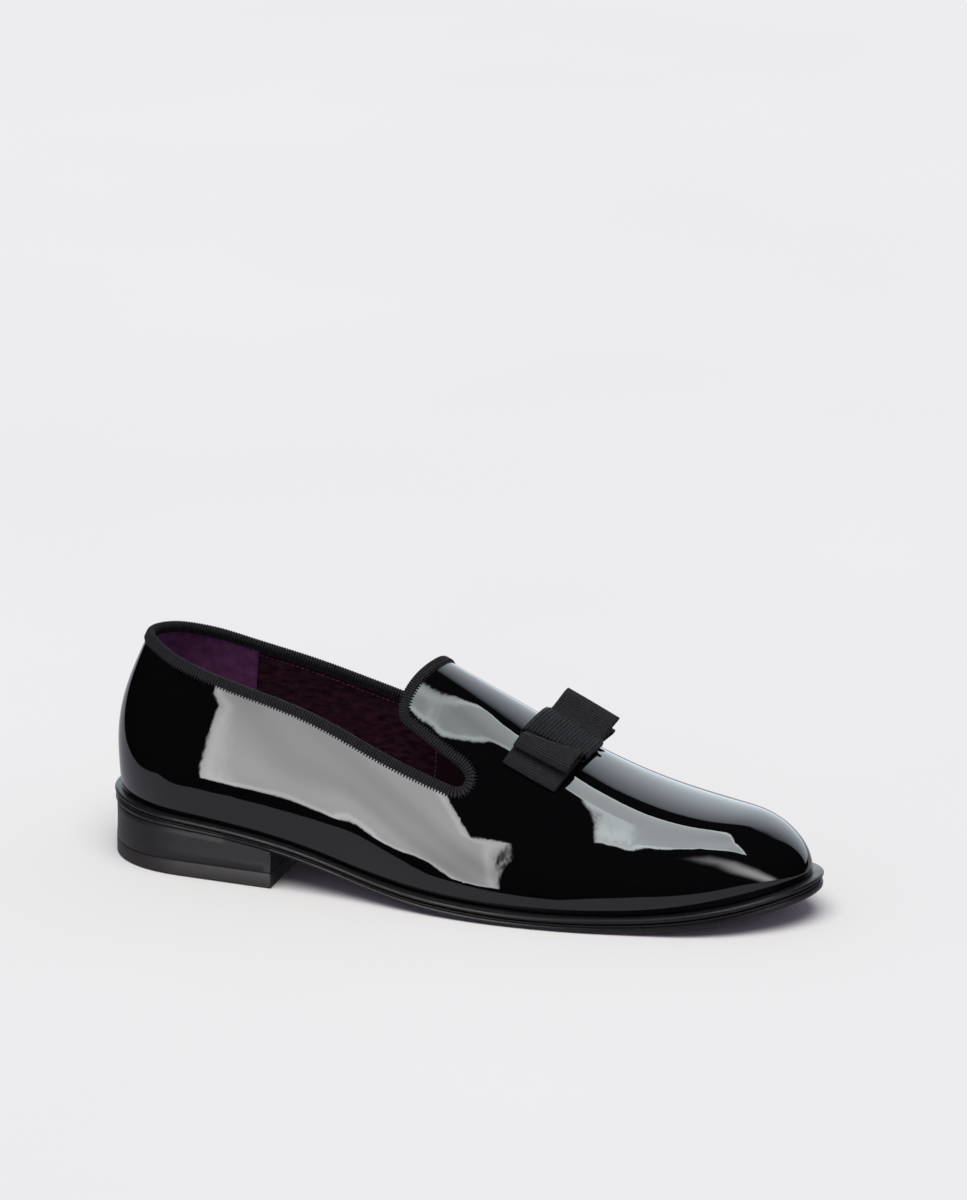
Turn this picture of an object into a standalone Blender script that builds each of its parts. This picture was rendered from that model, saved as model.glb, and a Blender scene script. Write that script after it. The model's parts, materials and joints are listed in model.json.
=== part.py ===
"""Leather loafer with a ribbon bow, one right shoe.

Metres, +Z up, toe toward +X, outer (lateral) side toward -Y, inner (medial) side toward +Y.
In the tables x is measured forward from the back of the sole and z up from the floor.
"""
import math

import bmesh
import bpy
import numpy as np

for item in list(bpy.data.objects):
    bpy.data.objects.remove(item, do_unlink=True)

shoe = bpy.data.collections.new("leather_loafer")
bpy.context.scene.collection.children.link(shoe)

WALL = 0.0016            # leather and lining of the upper
GAP = 0.0003             # what is left between pieces that meet
BACK_X = 0.0024          # back and front of the upper
TOE_X = 0.2955
HEEL_ROUND = 0.036       # lengths over which heel and toe are rounded in plan
TOE_ROUND = 0.066
TOE_CAP_ROUND = 0.030    # length over which the toe is rounded in profile
TUCK = 0.0025            # how far the upper turns in at its lower edge
BULGE = 0.0015
BREAST_X = 0.0780
LIFT_HEIGHT = 0.0062
WELT_THICK = 0.0022
INSOLE_RISE = 0.0012
LEAN_FADE = 0.055
HEIGHT_1, HEIGHT_2, HEIGHT_3 = 0.20, 0.52, 0.93   # heights of the section's control points, of 1

# One row a section: half widths, height and place of the ridge, and how far in the wall (at
# half height) and the shoulder stand, as a share of the half width on that side.
SECTIONS = np.array([
    (0.000, 0.0290, 0.0300, 0.1020, 0.000, 0.93, 0.93, 0.70, 0.70),
    (0.040, 0.0324, 0.0300, 0.1060, 0.000, 0.93, 0.93, 0.70, 0.70),
    (0.075, 0.0352, 0.0295, 0.1075, 0.000, 0.93, 0.93, 0.66, 0.68),
    (0.110, 0.0385, 0.0275, 0.1040, 0.002, 0.90, 0.96, 0.52, 0.66),
    (0.140, 0.0440, 0.0300, 0.0905, 0.004, 0.86, 0.96, 0.44, 0.60),
    (0.165, 0.0470, 0.0360, 0.0780, 0.004, 0.86, 0.94, 0.44, 0.54),
    (0.190, 0.0475, 0.0410, 0.0652, 0.004, 0.88, 0.94, 0.46, 0.52),
    (0.215, 0.0455, 0.0430, 0.0538, 0.003, 0.92, 0.94, 0.52, 0.55),
    (0.240, 0.0415, 0.0415, 0.0460, 0.002, 0.95, 0.95, 0.56, 0.58),
    (0.265, 0.0377, 0.0365, 0.0422, 0.001, 0.96, 0.96, 0.58, 0.58),
    (0.300, 0.0298, 0.0255, 0.0390, 0.000, 0.96, 0.96, 0.58, 0.58),
], dtype=[(name, float) for name in (
    "x", "lateral", "medial", "ridge_z", "ridge_y",
    "lateral_wall", "medial_wall", "lateral_shoulder", "medial_shoulder")])

# One row a place along the sole: top of the welt, underside, and how far the sole stands out.
SOLE = np.array([
    (0.000, 0.0290, 0.0225, 0.0028),
    (0.030, 0.0260, 0.0205, 0.0026),
    (0.078, 0.0208, 0.0160, 0.0026),
    (0.095, 0.0174, 0.0122, 0.0026),
    (0.118, 0.0120, 0.0066, 0.0028),
    (0.140, 0.0085, 0.0025, 0.0032),
    (0.160, 0.0069, 0.0005, 0.0034),
    (0.175, 0.0062, 0.0000, 0.0036),
    (0.215, 0.0064, 0.0000, 0.0036),
    (0.240, 0.0080, 0.0012, 0.0038),
    (0.270, 0.0125, 0.0053, 0.0048),
    (0.300, 0.0190, 0.0118, 0.0044),
], dtype=[(name, float) for name in ("x", "top", "under", "reach")])

# How far the heel's back leans forward at a height, and how far a section is swung round the
# vamp's own line (forward on the medial side), at a place along the shoe.
LEAN = np.array([
    (0.020, 0.0016), (0.030, 0.0006), (0.042, 0.0000), (0.052, 0.0000),
    (0.066, 0.0021), (0.081, 0.0073), (0.094, 0.0130), (0.115, 0.0220),
], dtype=[("z", float), ("forward", float)])
SWING = np.array([
    (0.065, 0.000), (0.075, 0.000), (0.092, 0.003), (0.125, 0.022), (0.160, 0.019),
    (0.200, 0.011), (0.250, 0.002), (0.280, 0.000), (0.290, 0.000),
], dtype=[("x", float), ("swing", float)])

# The cut of the upper, in shares of the way over the section (0 lateral edge, 0.5 ridge):
# the quarters' top line, and half the width of the tongue.
TOPLINE = np.array([
    (0.000, 0.346), (0.008, 0.331), (0.018, 0.308), (0.031, 0.284), (0.051, 0.256),
    (0.070, 0.237), (0.085, 0.224), (0.100, 0.213), (0.117, 0.207), (0.141, 0.204),
    (0.170, 0.203),
], dtype=[("x", float), ("share", float)])
TONGUE = np.array([
    (0.130, 0.214), (0.147, 0.229), (0.158, 0.242), (0.170, 0.250),
], dtype=[("x", float), ("half", float)])
NOTCH_X = 0.1655
NOTCH_SHARE = 0.232
NOTCH_ROUND = 0.0055
TIP_X = 0.1375
TIP_ROUND = 0.0110
TIP_TILT = 0.0100        # the tip is cut square to the sloping vamp, so its corners stand back

BINDING_LEG = 0.0029
BINDING_THICK = 0.0006

RIBBON = 0.0005
RIBBON_GAP = 0.00025
RIBBON_WIDTH = 0.0245
BOW_X = 0.1915
BOW_TURN = -0.07         # radians the bow is turned on the vamp
BAND_MEDIAL = 0.0070     # the band's edges, from the bow's middle
BAND_LATERAL = 0.0135
BAND_SLANT = 0.0025      # its lateral edge reaches this much farther at the heel side
KNOT_SPARE = 0.0015      # the loops stay flat this far past the band
# One row a pair of loops: reach to each side, half thickness of each loop, how much of the
# vamp's fall the medial loop ignores, how far its end is raised, the lateral loop's twist, the
# length over which the lateral loop opens, and how blunt its end is.
BOW = np.array([
    (0.0295, 0.0275, 0.0011, 0.0014, 0.85, 0.0000, 0.00, 0.0100, 8),
    (0.0258, 0.0225, 0.0024, 0.0012, 0.85, 0.0058, 0.06, 0.0045, 6),
], dtype=[(name, float) for name in (
    "lateral", "medial", "lateral_half", "medial_half", "stiff", "raise", "twist", "open", "blunt")])
MEDIAL_OPEN = 0.0100
MEDIAL_BLUNT = 8


def curve(table, column):
    """Smooth curve (natural cubic spline) through one column of a table."""
    xs = table[table.dtype.names[0]]
    ys = table[column]
    step = np.diff(xs)
    count = len(xs)
    matrix = np.eye(count)
    right = np.zeros(count)
    for i in range(1, count - 1):
        matrix[i, i - 1:i + 2] = step[i - 1], 2 * (step[i - 1] + step[i]), step[i]
        right[i] = 6 * ((ys[i + 1] - ys[i]) / step[i] - (ys[i] - ys[i - 1]) / step[i - 1])
    bend = np.linalg.solve(matrix, right)

    def value(x):
        x = np.clip(x, xs[0], xs[-1])
        k = np.clip(np.searchsorted(xs, x) - 1, 0, count - 2)
        a = (xs[k + 1] - x) / step[k]
        b = (x - xs[k]) / step[k]
        lift = ((a**3 - a) * bend[k] + (b**3 - b) * bend[k + 1]) * step[k]**2 / 6
        return a * ys[k] + b * ys[k + 1] + lift
    return value


SECTION = {name: curve(SECTIONS, name) for name in SECTIONS.dtype.names[1:]}
lean = curve(LEAN, "forward")
swing = curve(SWING, "swing")
topline = curve(TOPLINE, "share")
tongue = curve(TONGUE, "half")
sole_top = curve(SOLE, "top")
sole_reach = curve(SOLE, "reach")
sole_under_curve = curve(SOLE, "under")


def sole_under(x):
    return np.maximum(sole_under_curve(x), 0.0)


def closing(x, end, length, power):
    """1 along the shoe, falling to 0 at an end as a rounded nose does."""
    s = np.clip(1 - np.abs(x - end) / length, 0, 1)
    return np.sqrt(np.clip(1 - s**power, 0, 1))


def smooth(s):
    s = np.clip(s, 0, 1)
    return s * s * (3 - 2 * s)


def station(u):
    """Place along the upper for u from 0 at its back to 1 at its toe, closer near the ends."""
    return BACK_X + (TOE_X - BACK_X) * (1 - np.cos(np.pi * u)) / 2


def along(x):
    return np.arccos(np.clip(1 - 2 * (x - BACK_X) / (TOE_X - BACK_X), -1, 1)) / np.pi


def spread(t, count=9, degree=3):
    """Weights of a cubic B-spline's control points at t from 0 to 1, its ends clamped."""
    inner = np.linspace(0, 1, count - degree + 1)
    knots = np.concatenate([np.zeros(degree), inner, np.ones(degree)])
    t = np.clip(t, 0, 1 - 1e-12)
    weights = [((knots[i] <= t) & (t < knots[i + 1])).astype(float) for i in range(len(knots) - 1)]
    for d in range(1, degree + 1):
        raised = []
        for i in range(len(knots) - 1 - d):
            rise = knots[i + d] - knots[i]
            fall = knots[i + d + 1] - knots[i + 1]
            weight = np.zeros_like(t)
            if rise > 0:
                weight = weight + (t - knots[i]) / rise * weights[i]
            if fall > 0:
                weight = weight + (knots[i + d + 1] - t) / fall * weights[i + 1]
            raised.append(weight)
        weights = raised
    return np.stack(weights, axis=-1)


def surface(u, t):
    """Outside of the upper: u from back to toe, t from the lateral edge over to the medial edge."""
    u, t = np.broadcast_arrays(np.asarray(u, float), np.asarray(t, float))
    x = station(u)
    form = {name: f(x) for name, f in SECTION.items()}
    narrow = closing(x, BACK_X, HEEL_ROUND, 2.5) * closing(x, TOE_X, TOE_ROUND, 2.5)
    foot = sole_top(x)
    height = (form["ridge_z"] - foot) * closing(x, TOE_X, TOE_CAP_ROUND, 2.5)

    def side(sign, half, wall, shoulder):
        outs = (half - TUCK, half + BULGE, half * wall, half * shoulder)
        ups = (0.0, HEIGHT_1, HEIGHT_2, HEIGHT_3)
        return [(sign * out * narrow, foot + up * height) for out, up in zip(outs, ups)]

    lateral = side(-1, form["lateral"], form["lateral_wall"], form["lateral_shoulder"])
    medial = side(1, form["medial"], form["medial_wall"], form["medial_shoulder"])
    ridge = (form["ridge_y"] * narrow, foot + height * (6 - 2 * HEIGHT_3) / 4)
    control = lateral + [ridge] + medial[::-1]
    weights = spread(t)
    y = sum(weights[..., i] * point[0] for i, point in enumerate(control))
    z = sum(weights[..., i] * point[1] for i, point in enumerate(control))
    across = 2 * t - 1
    x = x + lean(z) * np.exp(-((x - BACK_X) / LEAN_FADE)**2)
    x = x + swing(station(u)) * across / 2 * (1 - across**4)
    return np.stack([x, y, z], axis=-1)


def slopes(u, t, step=1e-4):
    """The surface's two directions, taken inward from its ends, and its outward normal."""
    u, t = np.broadcast_arrays(np.asarray(u, float), np.asarray(t, float))
    u0, u1 = np.clip(u - step, 0, 1), np.clip(u + step, 0, 1)
    t0, t1 = np.clip(t - step, 0, 1), np.clip(t + step, 0, 1)
    du = (surface(u1, t) - surface(u0, t)) / (u1 - u0)[..., None]
    dt = (surface(u, t1) - surface(u, t0)) / (t1 - t0)[..., None]
    normal = np.cross(du, dt)
    normal /= np.linalg.norm(normal, axis=-1, keepdims=True)
    return du, dt, normal


# One row a piece: colour and roughness.
LOOKS = {
    "outsole": ((0.022, 0.020, 0.022), 0.42),
    "welt": ((0.020, 0.019, 0.020), 0.38),
    "heel_stack": ((0.021, 0.020, 0.021), 0.40),
    "heel_lift": ((0.026, 0.022, 0.022), 0.50),
    "insole": ((0.060, 0.020, 0.055), 0.80),
    "upper": ((0.010, 0.010, 0.012), 0.08),
    "collar_binding": ((0.016, 0.016, 0.017), 0.85),
    "bow_lower": ((0.015, 0.015, 0.016), 0.80),
    "bow_upper": ((0.015, 0.015, 0.016), 0.80),
    "bow_band": ((0.015, 0.015, 0.016), 0.80),
}


def finish(name, data):
    """One named object with its own material, in the shoe's collection."""
    colour, roughness = LOOKS[name]
    look = bpy.data.materials.new(name)
    look.use_nodes = True
    shader = look.node_tree.nodes["Principled BSDF"]
    shader.inputs["Base Color"].default_value = (*colour, 1.0)
    shader.inputs["Roughness"].default_value = roughness
    data.materials.append(look)
    made = bpy.data.objects.new(name, data)
    shoe.objects.link(made)
    return made


def solid(name, points, faces):
    """A mesh object from points and faces, welded where points coincide, normals outward."""
    mesh = bpy.data.meshes.new(name)
    mesh.from_pydata([tuple(p) for p in points], [], [tuple(f) for f in faces])
    work = bmesh.new()
    work.from_mesh(mesh)
    bmesh.ops.remove_doubles(work, verts=work.verts, dist=1e-6)
    bmesh.ops.dissolve_degenerate(work, edges=work.edges, dist=1e-6)
    bmesh.ops.recalc_face_normals(work, faces=work.faces)
    work.to_mesh(mesh)
    work.free()
    mesh.shade_smooth()
    mesh.set_sharp_from_angle(angle=math.radians(40))
    return finish(name, mesh)


def thicken(made, thickness, offset):
    shell = made.modifiers.new("wall", "SOLIDIFY")
    shell.thickness = thickness
    shell.offset = offset
    shell.use_even_offset = True
    return made


def grid(points, faces, block, closed=False):
    """Add a block of points (rows, columns, 3) as quads; closed joins the last column to the first."""
    rows, columns = block.shape[:2]
    first = len(points)
    points.extend(block.reshape(-1, 3))
    for i in range(rows - 1):
        for j in range(columns if closed else columns - 1):
            k = (j + 1) % columns
            corner = first + i * columns
            faces.append((corner + j, corner + k, corner + columns + k, corner + columns + j))


# Sole, welt, insole and heel: levels of one plan outline, joined by a ladder across.
SIDE_STEPS = 38


def outline(reach, offset, steps=np.linspace(0, 1, SIDE_STEPS)):
    """Plan outline offset from the upper's lower edge: lateral side then medial, back to toe."""
    sides = []
    for t, sign in ((0.0, -1.0), (1.0, 1.0)):
        place = surface(steps, t)[:, :2]
        ahead = surface(np.clip(steps + 1e-4, 0, 1), t)[:, :2]
        behind = surface(np.clip(steps - 1e-4, 0, 1), t)[:, :2]
        run = ahead - behind
        run /= np.linalg.norm(run, axis=1, keepdims=True)
        out = np.stack([-sign * run[:, 1], sign * run[:, 0]], axis=1)
        far = offset + (sole_reach(place[:, 0]) if reach else 0.0)
        sides.append(place + out * np.broadcast_to(far, len(steps))[:, None])
    for end in (0, -1):
        if abs(steps[end] - round(steps[end])) < 1e-9:
            middle = (sides[0][end] + sides[1][end]) / 2
            sides[0][end] = sides[1][end] = middle
    return sides


def raised(sides, height):
    """The ring of an outline at a height: lateral side forward, medial side back."""
    ring = np.concatenate([sides[0], sides[1][::-1]])
    return np.column_stack([ring, height(ring[:, 0])])


def ladder_solid(name, rings):
    """Closed body from rings of one outline, its two end rings capped by a ladder of quads."""
    count = len(rings[0])
    points = []
    faces = []
    grid(points, faces, np.array(rings), closed=True)
    for first in (0, (len(rings) - 1) * count):
        for i in range(count // 2 - 1):
            j = count - 1 - i
            faces.append((first + i, first + i + 1, first + j - 1, first + j))
    return solid(name, points, faces)


def welt_top(x):
    return sole_top(x) - GAP


def outsole_top(x):
    return welt_top(x) - WELT_THICK - GAP


outsole = ladder_solid("outsole", [
    raised(outline(True, -0.0014), sole_under),
    raised(outline(True, -0.0006), lambda x: sole_under(x) + 0.0005),
    raised(outline(True, -0.0002), lambda x: 0.5 * (sole_under(x) + outsole_top(x))),
    raised(outline(True, -0.0010), outsole_top),
])

insole = ladder_solid("insole", [
    raised(outline(False, -0.0026), lambda x: outsole_top(x) + GAP),
    raised(outline(False, -0.0026), lambda x: sole_top(x) + 0.5 * INSOLE_RISE),
    raised(outline(False, -0.0034), lambda x: sole_top(x) + INSOLE_RISE),
])

welt_rings = [
    raised(outline(False, -0.0022), lambda x: welt_top(x) - WELT_THICK),
    raised(outline(True, -0.0007), lambda x: welt_top(x) - WELT_THICK),
    raised(outline(True, 0.0), lambda x: welt_top(x) - 0.55 * WELT_THICK),
    raised(outline(True, -0.0006), welt_top),
    raised(outline(False, -0.0022), welt_top),
]
welt_points = []
welt_faces = []
grid(welt_points, welt_faces, np.array(welt_rings + welt_rings[:1]), closed=True)
welt = solid("welt", welt_points, welt_faces)

heel_steps = np.linspace(0, along(BREAST_X), 15)


def heel_ring(offset, height):
    return raised(outline(True, offset, heel_steps), height)


heel_stack = ladder_solid("heel_stack", [
    heel_ring(-0.0004, lambda x: 0 * x + LIFT_HEIGHT + GAP),
    heel_ring(-0.0008, lambda x: 0.5 * (LIFT_HEIGHT + sole_under(x))),
    heel_ring(-0.0008, lambda x: sole_under(x) - GAP),
])
lift_sides = outline(True, -0.0004, heel_steps)
lift_ring = np.concatenate([lift_sides[0], lift_sides[1][:0:-1]])
lift_outline = bpy.data.curves.new("heel_lift", "CURVE")
lift_outline.dimensions = "2D"
lift_outline.fill_mode = "BOTH"
lift_outline.extrude = 0.5 * LIFT_HEIGHT
lift_edge = lift_outline.splines.new("POLY")
lift_edge.points.add(len(lift_ring) - 1)
for point, place in zip(lift_edge.points, lift_ring):
    point.co = (*place, 0.0, 1.0)
lift_edge.use_cyclic_u = True
heel_lift = finish("heel_lift", lift_outline)
heel_lift.location.z = 0.5 * LIFT_HEIGHT

# Upper: two quarters, the tongue between them and the forepart, sharing their rows at the notch.
QUARTER_COLUMNS = np.array([0, 0.13, 0.28, 0.44, 0.61, 0.78, 0.935, 1])
TONGUE_COLUMNS = np.array([-1, -0.94, -0.80, -0.55, -0.28, 0, 0.28, 0.55, 0.80, 0.94, 1])
QUARTER_ROWS = 23
NOTCH_ROWS = 4
TONGUE_ROWS = 8
FOREPART_ROWS = 20


def cut_top(x):
    """Top line of the quarters, turning up round the notch."""
    s = np.clip(1 - (NOTCH_X - x) / NOTCH_ROUND, 0, 1)
    return NOTCH_SHARE + (topline(x) - NOTCH_SHARE) * np.sqrt(1 - s * s)


def cut_tongue(x):
    """Half the tongue's width, closing to the notch."""
    s = np.clip(1 - (NOTCH_X - x) / NOTCH_ROUND, 0, 1)
    closed = 0.5 - NOTCH_SHARE
    return closed + (tongue(x) - closed) * np.sqrt(1 - s * s)


notch_u = along(NOTCH_X)
round_u = along(NOTCH_X - NOTCH_ROUND)
turn = np.sin(np.linspace(0, np.pi / 2, NOTCH_ROWS + 1))
notch_rows = round_u + (notch_u - round_u) * turn
quarter_rows = np.concatenate([np.linspace(0, round_u, QUARTER_ROWS), notch_rows[1:]])
quarter_t = cut_top(station(quarter_rows))[:, None] * QUARTER_COLUMNS
quarter_u = np.broadcast_to(quarter_rows[:, None], quarter_t.shape)

tip = TIP_X - TIP_TILT * TONGUE_COLUMNS**2
tip = tip + TIP_ROUND * (1 - np.sqrt(1 - np.abs(TONGUE_COLUMNS)**3))
share = np.concatenate([np.linspace(0, 1, TONGUE_ROWS, endpoint=False), np.ones(1)])
tongue_x = tip + (NOTCH_X - NOTCH_ROUND - tip) * share[:, None]
tail_x = station(notch_rows[1:])[:, None] + 0 * tip
tongue_x = np.concatenate([tongue_x, tail_x])
tongue_t = 0.5 + TONGUE_COLUMNS * cut_tongue(tongue_x)
tongue_u = along(tongue_x)

forepart_rows = np.linspace(notch_u, 1, FOREPART_ROWS)
forepart_t = np.concatenate([
    QUARTER_COLUMNS * NOTCH_SHARE,
    (0.5 + TONGUE_COLUMNS * (0.5 - NOTCH_SHARE))[1:-1],
    (1 - QUARTER_COLUMNS * NOTCH_SHARE)[::-1],
])

upper_points = []
upper_faces = []
grid(upper_points, upper_faces, surface(quarter_u, quarter_t))
grid(upper_points, upper_faces, surface(quarter_u, 1 - quarter_t))
grid(upper_points, upper_faces, surface(tongue_u, tongue_t))
grid(upper_points, upper_faces, surface(forepart_rows[:, None], forepart_t))
upper = thicken(solid("upper", upper_points, upper_faces), WALL, -1)

# Binding: a U over the cut edge, its stations the edge's own points, once round.
loop = np.concatenate([
    np.column_stack([quarter_rows, quarter_t[:, -1]]),
    np.column_stack([tongue_u[:-1, 0], tongue_t[:-1, 0]])[::-1],
    np.column_stack([tongue_u[0, 1:], tongue_t[0, 1:]]),
    np.column_stack([tongue_u[1:-1, -1], tongue_t[1:-1, -1]]),
    np.column_stack([quarter_rows, 1 - quarter_t[:, -1]])[::-1][:-1],
])
edge = surface(loop[:, 0], loop[:, 1])
edge_u, edge_t, edge_n = slopes(loop[:, 0], loop[:, 1])
edge_run = np.roll(edge, -1, axis=0) - np.roll(edge, 1, axis=0)
edge_run /= np.linalg.norm(edge_run, axis=1, keepdims=True)
inward = np.cross(edge_run, edge_n)
inward /= np.linalg.norm(inward, axis=1, keepdims=True)


def sunk(depth, off):
    """The edge's points moved a depth into the leather, then off its outside along the normal."""
    uu = np.sum(edge_u * edge_u, axis=1)
    ut = np.sum(edge_u * edge_t, axis=1)
    tt = np.sum(edge_t * edge_t, axis=1)
    ru = np.sum(edge_u * inward, axis=1)
    rt = np.sum(edge_t * inward, axis=1)
    det = uu * tt - ut * ut
    u = np.clip(loop[:, 0] + depth * (ru * tt - rt * ut) / det, 0, 1)
    t = loop[:, 1] + depth * (rt * uu - ru * ut) / det
    if depth <= 0:
        return edge + depth * inward + off * edge_n
    return surface(u, t) + off * slopes(u, t)[2]


inside = -WALL - GAP
binding_rows = np.array([
    sunk(BINDING_LEG, GAP),
    sunk(0.5 * BINDING_LEG, GAP),
    sunk(-0.0001, GAP),
    sunk(-0.0005, -0.5 * WALL),
    sunk(-0.0001, inside),
    sunk(0.5 * BINDING_LEG, inside),
    sunk(BINDING_LEG, inside),
])
binding_points = []
binding_faces = []
grid(binding_points, binding_faces, binding_rows, closed=True)
binding = solid("collar_binding", binding_points, binding_faces)
thicken(binding, BINDING_THICK, 1)

# Bow: a frame on the vamp's ridge, with the vamp's height over that frame fitted as a polynomial.
bow_u = along(BOW_X)
bow_middle = surface(bow_u, 0.5)
bow_run, _, bow_up = slopes(bow_u, 0.5)
bow_run = bow_run / np.linalg.norm(bow_run)
bow_side = np.cross(bow_up, bow_run)
ahead = np.cos(BOW_TURN) * bow_run + np.sin(BOW_TURN) * bow_side
aside = np.cross(bow_up, ahead)

sample_u, sample_t = np.meshgrid(along(np.linspace(0.160, 0.222, 40)), np.linspace(0.14, 0.86, 60))
sample = surface(sample_u, sample_t).reshape(-1, 3) - bow_middle
sample_a, sample_c, sample_h = sample @ ahead, sample @ aside, sample @ bow_up
near = (np.abs(sample_a) < 0.016) & (np.abs(sample_c) < 0.036)
POWERS = [(i, j) for i in range(4) for j in range(9)]


def terms(a, c):
    return np.stack([(a / 0.016)**i * (c / 0.036)**j for i, j in POWERS], axis=-1)


vamp_fit = np.linalg.lstsq(terms(sample_a[near], sample_c[near]), sample_h[near], rcond=None)[0]


def vamp(a, c):
    """Height of the vamp over the bow's frame, a ahead and c aside (medial +)."""
    return terms(a, c) @ vamp_fit


def band_edge(a):
    """How far the band reaches to the lateral side."""
    return BAND_LATERAL - BAND_SLANT * a / (0.5 * RIBBON_WIDTH)


def loose(a, c, row):
    """0 under the band, 1 out on the loops."""
    past = np.where(c < 0, -c - band_edge(a), c - BAND_MEDIAL) - KNOT_SPARE
    return smooth(past / np.where(c < 0, row["open"], MEDIAL_OPEN))


def bed(a, c, stiff):
    """What a loop lies on: the vamp, the medial side carried out straighter."""
    return vamp(a, c) * (1 - stiff * smooth((c - 0.6 * BAND_MEDIAL) / 0.016))


PLY = RIBBON + RIBBON_GAP


def lower_loop(a, c):
    """Middle and half thickness of the lower loops."""
    row = BOW[0]
    half = np.where(c < 0, row["lateral_half"], row["medial_half"])
    half = 0.5 * PLY + (half - 0.5 * PLY) * loose(a, c, row)
    rest = 0.5 * PLY + GAP + PLY * (1 - loose(a, c, row))
    return bed(a, c, row["stiff"]) + rest + half, half


def upper_loop(a, c):
    """Middle and half thickness of the upper loops, resting on the lower ones."""
    row = BOW[1]
    below, below_half = lower_loop(a, c)
    half = np.where(c < 0, row["lateral_half"], row["medial_half"])
    half = 0.5 * PLY + (half - 0.5 * PLY) * loose(a, c, row)
    lift = row["raise"] * smooth((c - BAND_MEDIAL) / row["medial"])
    twist = row["twist"] * (a + 0.5 * RIBBON_WIDTH) * np.where(c < 0, loose(a, c, row), 0)
    return below + below_half + PLY + half + lift + twist, half


def placed(a, c, h):
    return bow_middle + a[..., None] * ahead + c[..., None] * aside + h[..., None] * bow_up


LOOP_POINTS = 48
WIDTH_POINTS = 5


def ribbon_loops(name, row, body):
    """A flattened ring of ribbon, round at both ends, straight across the ribbon's width."""
    turn = np.linspace(0, 2 * np.pi, LOOP_POINTS, endpoint=False)
    across = np.linspace(-0.5, 0.5, WIDTH_POINTS) * RIBBON_WIDTH
    reach = np.where(np.cos(turn) < 0, row["lateral"], row["medial"])
    c, a = np.meshgrid(np.cos(turn) * reach, across)
    middle, half = body(a, c)
    blunt = np.where(np.cos(turn) < 0, row["blunt"], MEDIAL_BLUNT)
    shut = np.sqrt(1 - np.abs(np.cos(turn))**blunt)
    h = middle + half * shut * np.sign(np.sin(turn)).round()
    points = []
    faces = []
    grid(points, faces, placed(a, c, h), closed=True)
    return thicken(solid(name, points, faces), RIBBON, 0)


bow_lower = ribbon_loops("bow_lower", BOW[0], lower_loop)
bow_upper = ribbon_loops("bow_upper", BOW[1], upper_loop)

BAND_POINTS = 32
BAND_WIDTH_POINTS = 9
band_turn = np.linspace(0, 2 * np.pi, BAND_POINTS, endpoint=False)
band_share, band_a = np.meshgrid(np.linspace(0, 1, BAND_WIDTH_POINTS), np.cos(band_turn))
band_a = band_a * (0.5 * RIBBON_WIDTH + 0.0016)
band_c = BAND_MEDIAL - band_share[:, ::-1] * (BAND_MEDIAL + band_edge(band_a))
band_shut = np.sqrt(1 - np.cos(band_turn)**20)[:, None]
band_middle = bed(band_a, band_c, BOW[0]["stiff"]) + GAP + 3 * PLY
band_h = band_middle + 2.5 * PLY * band_shut * np.sign(np.sin(band_turn)).round()[:, None]
band_points = []
band_faces = []
grid(band_points, band_faces, placed(band_a, band_c, band_h).transpose(1, 0, 2), closed=True)
bow_band = thicken(solid("bow_band", band_points, band_faces), RIBBON, 0)

# The pieces hang on one empty that brings the shoe's bottom centre to the origin.
ring = np.concatenate(outline(True, 0.0))
middle = 0.5 * (ring.min(axis=0) + ring.max(axis=0))
frame = bpy.data.objects.new("shoe_frame", None)
frame.location = (-middle[0], -middle[1], 0.0)
shoe.objects.link(frame)
for item in shoe.objects:
    if item is not frame:
        item.parent = frame
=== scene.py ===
# %% [markdown]
# # A slip-on loafer in patent leather
#
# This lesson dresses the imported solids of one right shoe. The solids already have the right size
# and place: each piece that shows is built again, finer, from the same tables of sizes that
# shaped its solid, and then gets the finish of the real material. The light is set against the
# picture at the end. All lengths are in metres. The toe points along +X, the outer side of the
# foot faces -Y.

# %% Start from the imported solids
import json
import math

import bmesh
import bpy
import numpy as np
from mathutils import Matrix, Vector

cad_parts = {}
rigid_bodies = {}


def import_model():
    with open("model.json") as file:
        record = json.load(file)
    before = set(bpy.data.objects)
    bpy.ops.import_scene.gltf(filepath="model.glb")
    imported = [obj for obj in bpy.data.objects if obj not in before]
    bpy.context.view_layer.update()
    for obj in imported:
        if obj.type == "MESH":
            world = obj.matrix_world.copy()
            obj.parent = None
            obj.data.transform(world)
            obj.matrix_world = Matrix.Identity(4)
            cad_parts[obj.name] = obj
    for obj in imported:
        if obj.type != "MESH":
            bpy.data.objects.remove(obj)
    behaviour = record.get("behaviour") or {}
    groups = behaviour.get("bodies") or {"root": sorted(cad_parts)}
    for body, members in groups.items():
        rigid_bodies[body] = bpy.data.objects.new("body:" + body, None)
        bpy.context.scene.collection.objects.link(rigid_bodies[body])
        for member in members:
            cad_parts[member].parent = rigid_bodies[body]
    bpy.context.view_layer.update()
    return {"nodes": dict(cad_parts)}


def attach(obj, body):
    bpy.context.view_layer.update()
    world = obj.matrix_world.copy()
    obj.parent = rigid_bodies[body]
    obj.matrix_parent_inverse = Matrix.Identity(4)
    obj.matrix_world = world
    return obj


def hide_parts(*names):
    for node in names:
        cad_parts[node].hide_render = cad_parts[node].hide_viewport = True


for item in list(bpy.data.objects):
    bpy.data.objects.remove(item, do_unlink=True)

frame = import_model()
print("solids:", ", ".join(sorted(frame["nodes"])))

# %% [markdown]
# ## Camera
#
# The picture was taken from a little above and in front of the shoe's outer side, from far away
# with a long lens, so lines hardly converge. A camera can be aimed with a constraint, but here
# its axes are written out, because then each number says one thing: the angle round the shoe,
# the height, the distance, and how far the lens stands off the line to the shoe.

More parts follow.
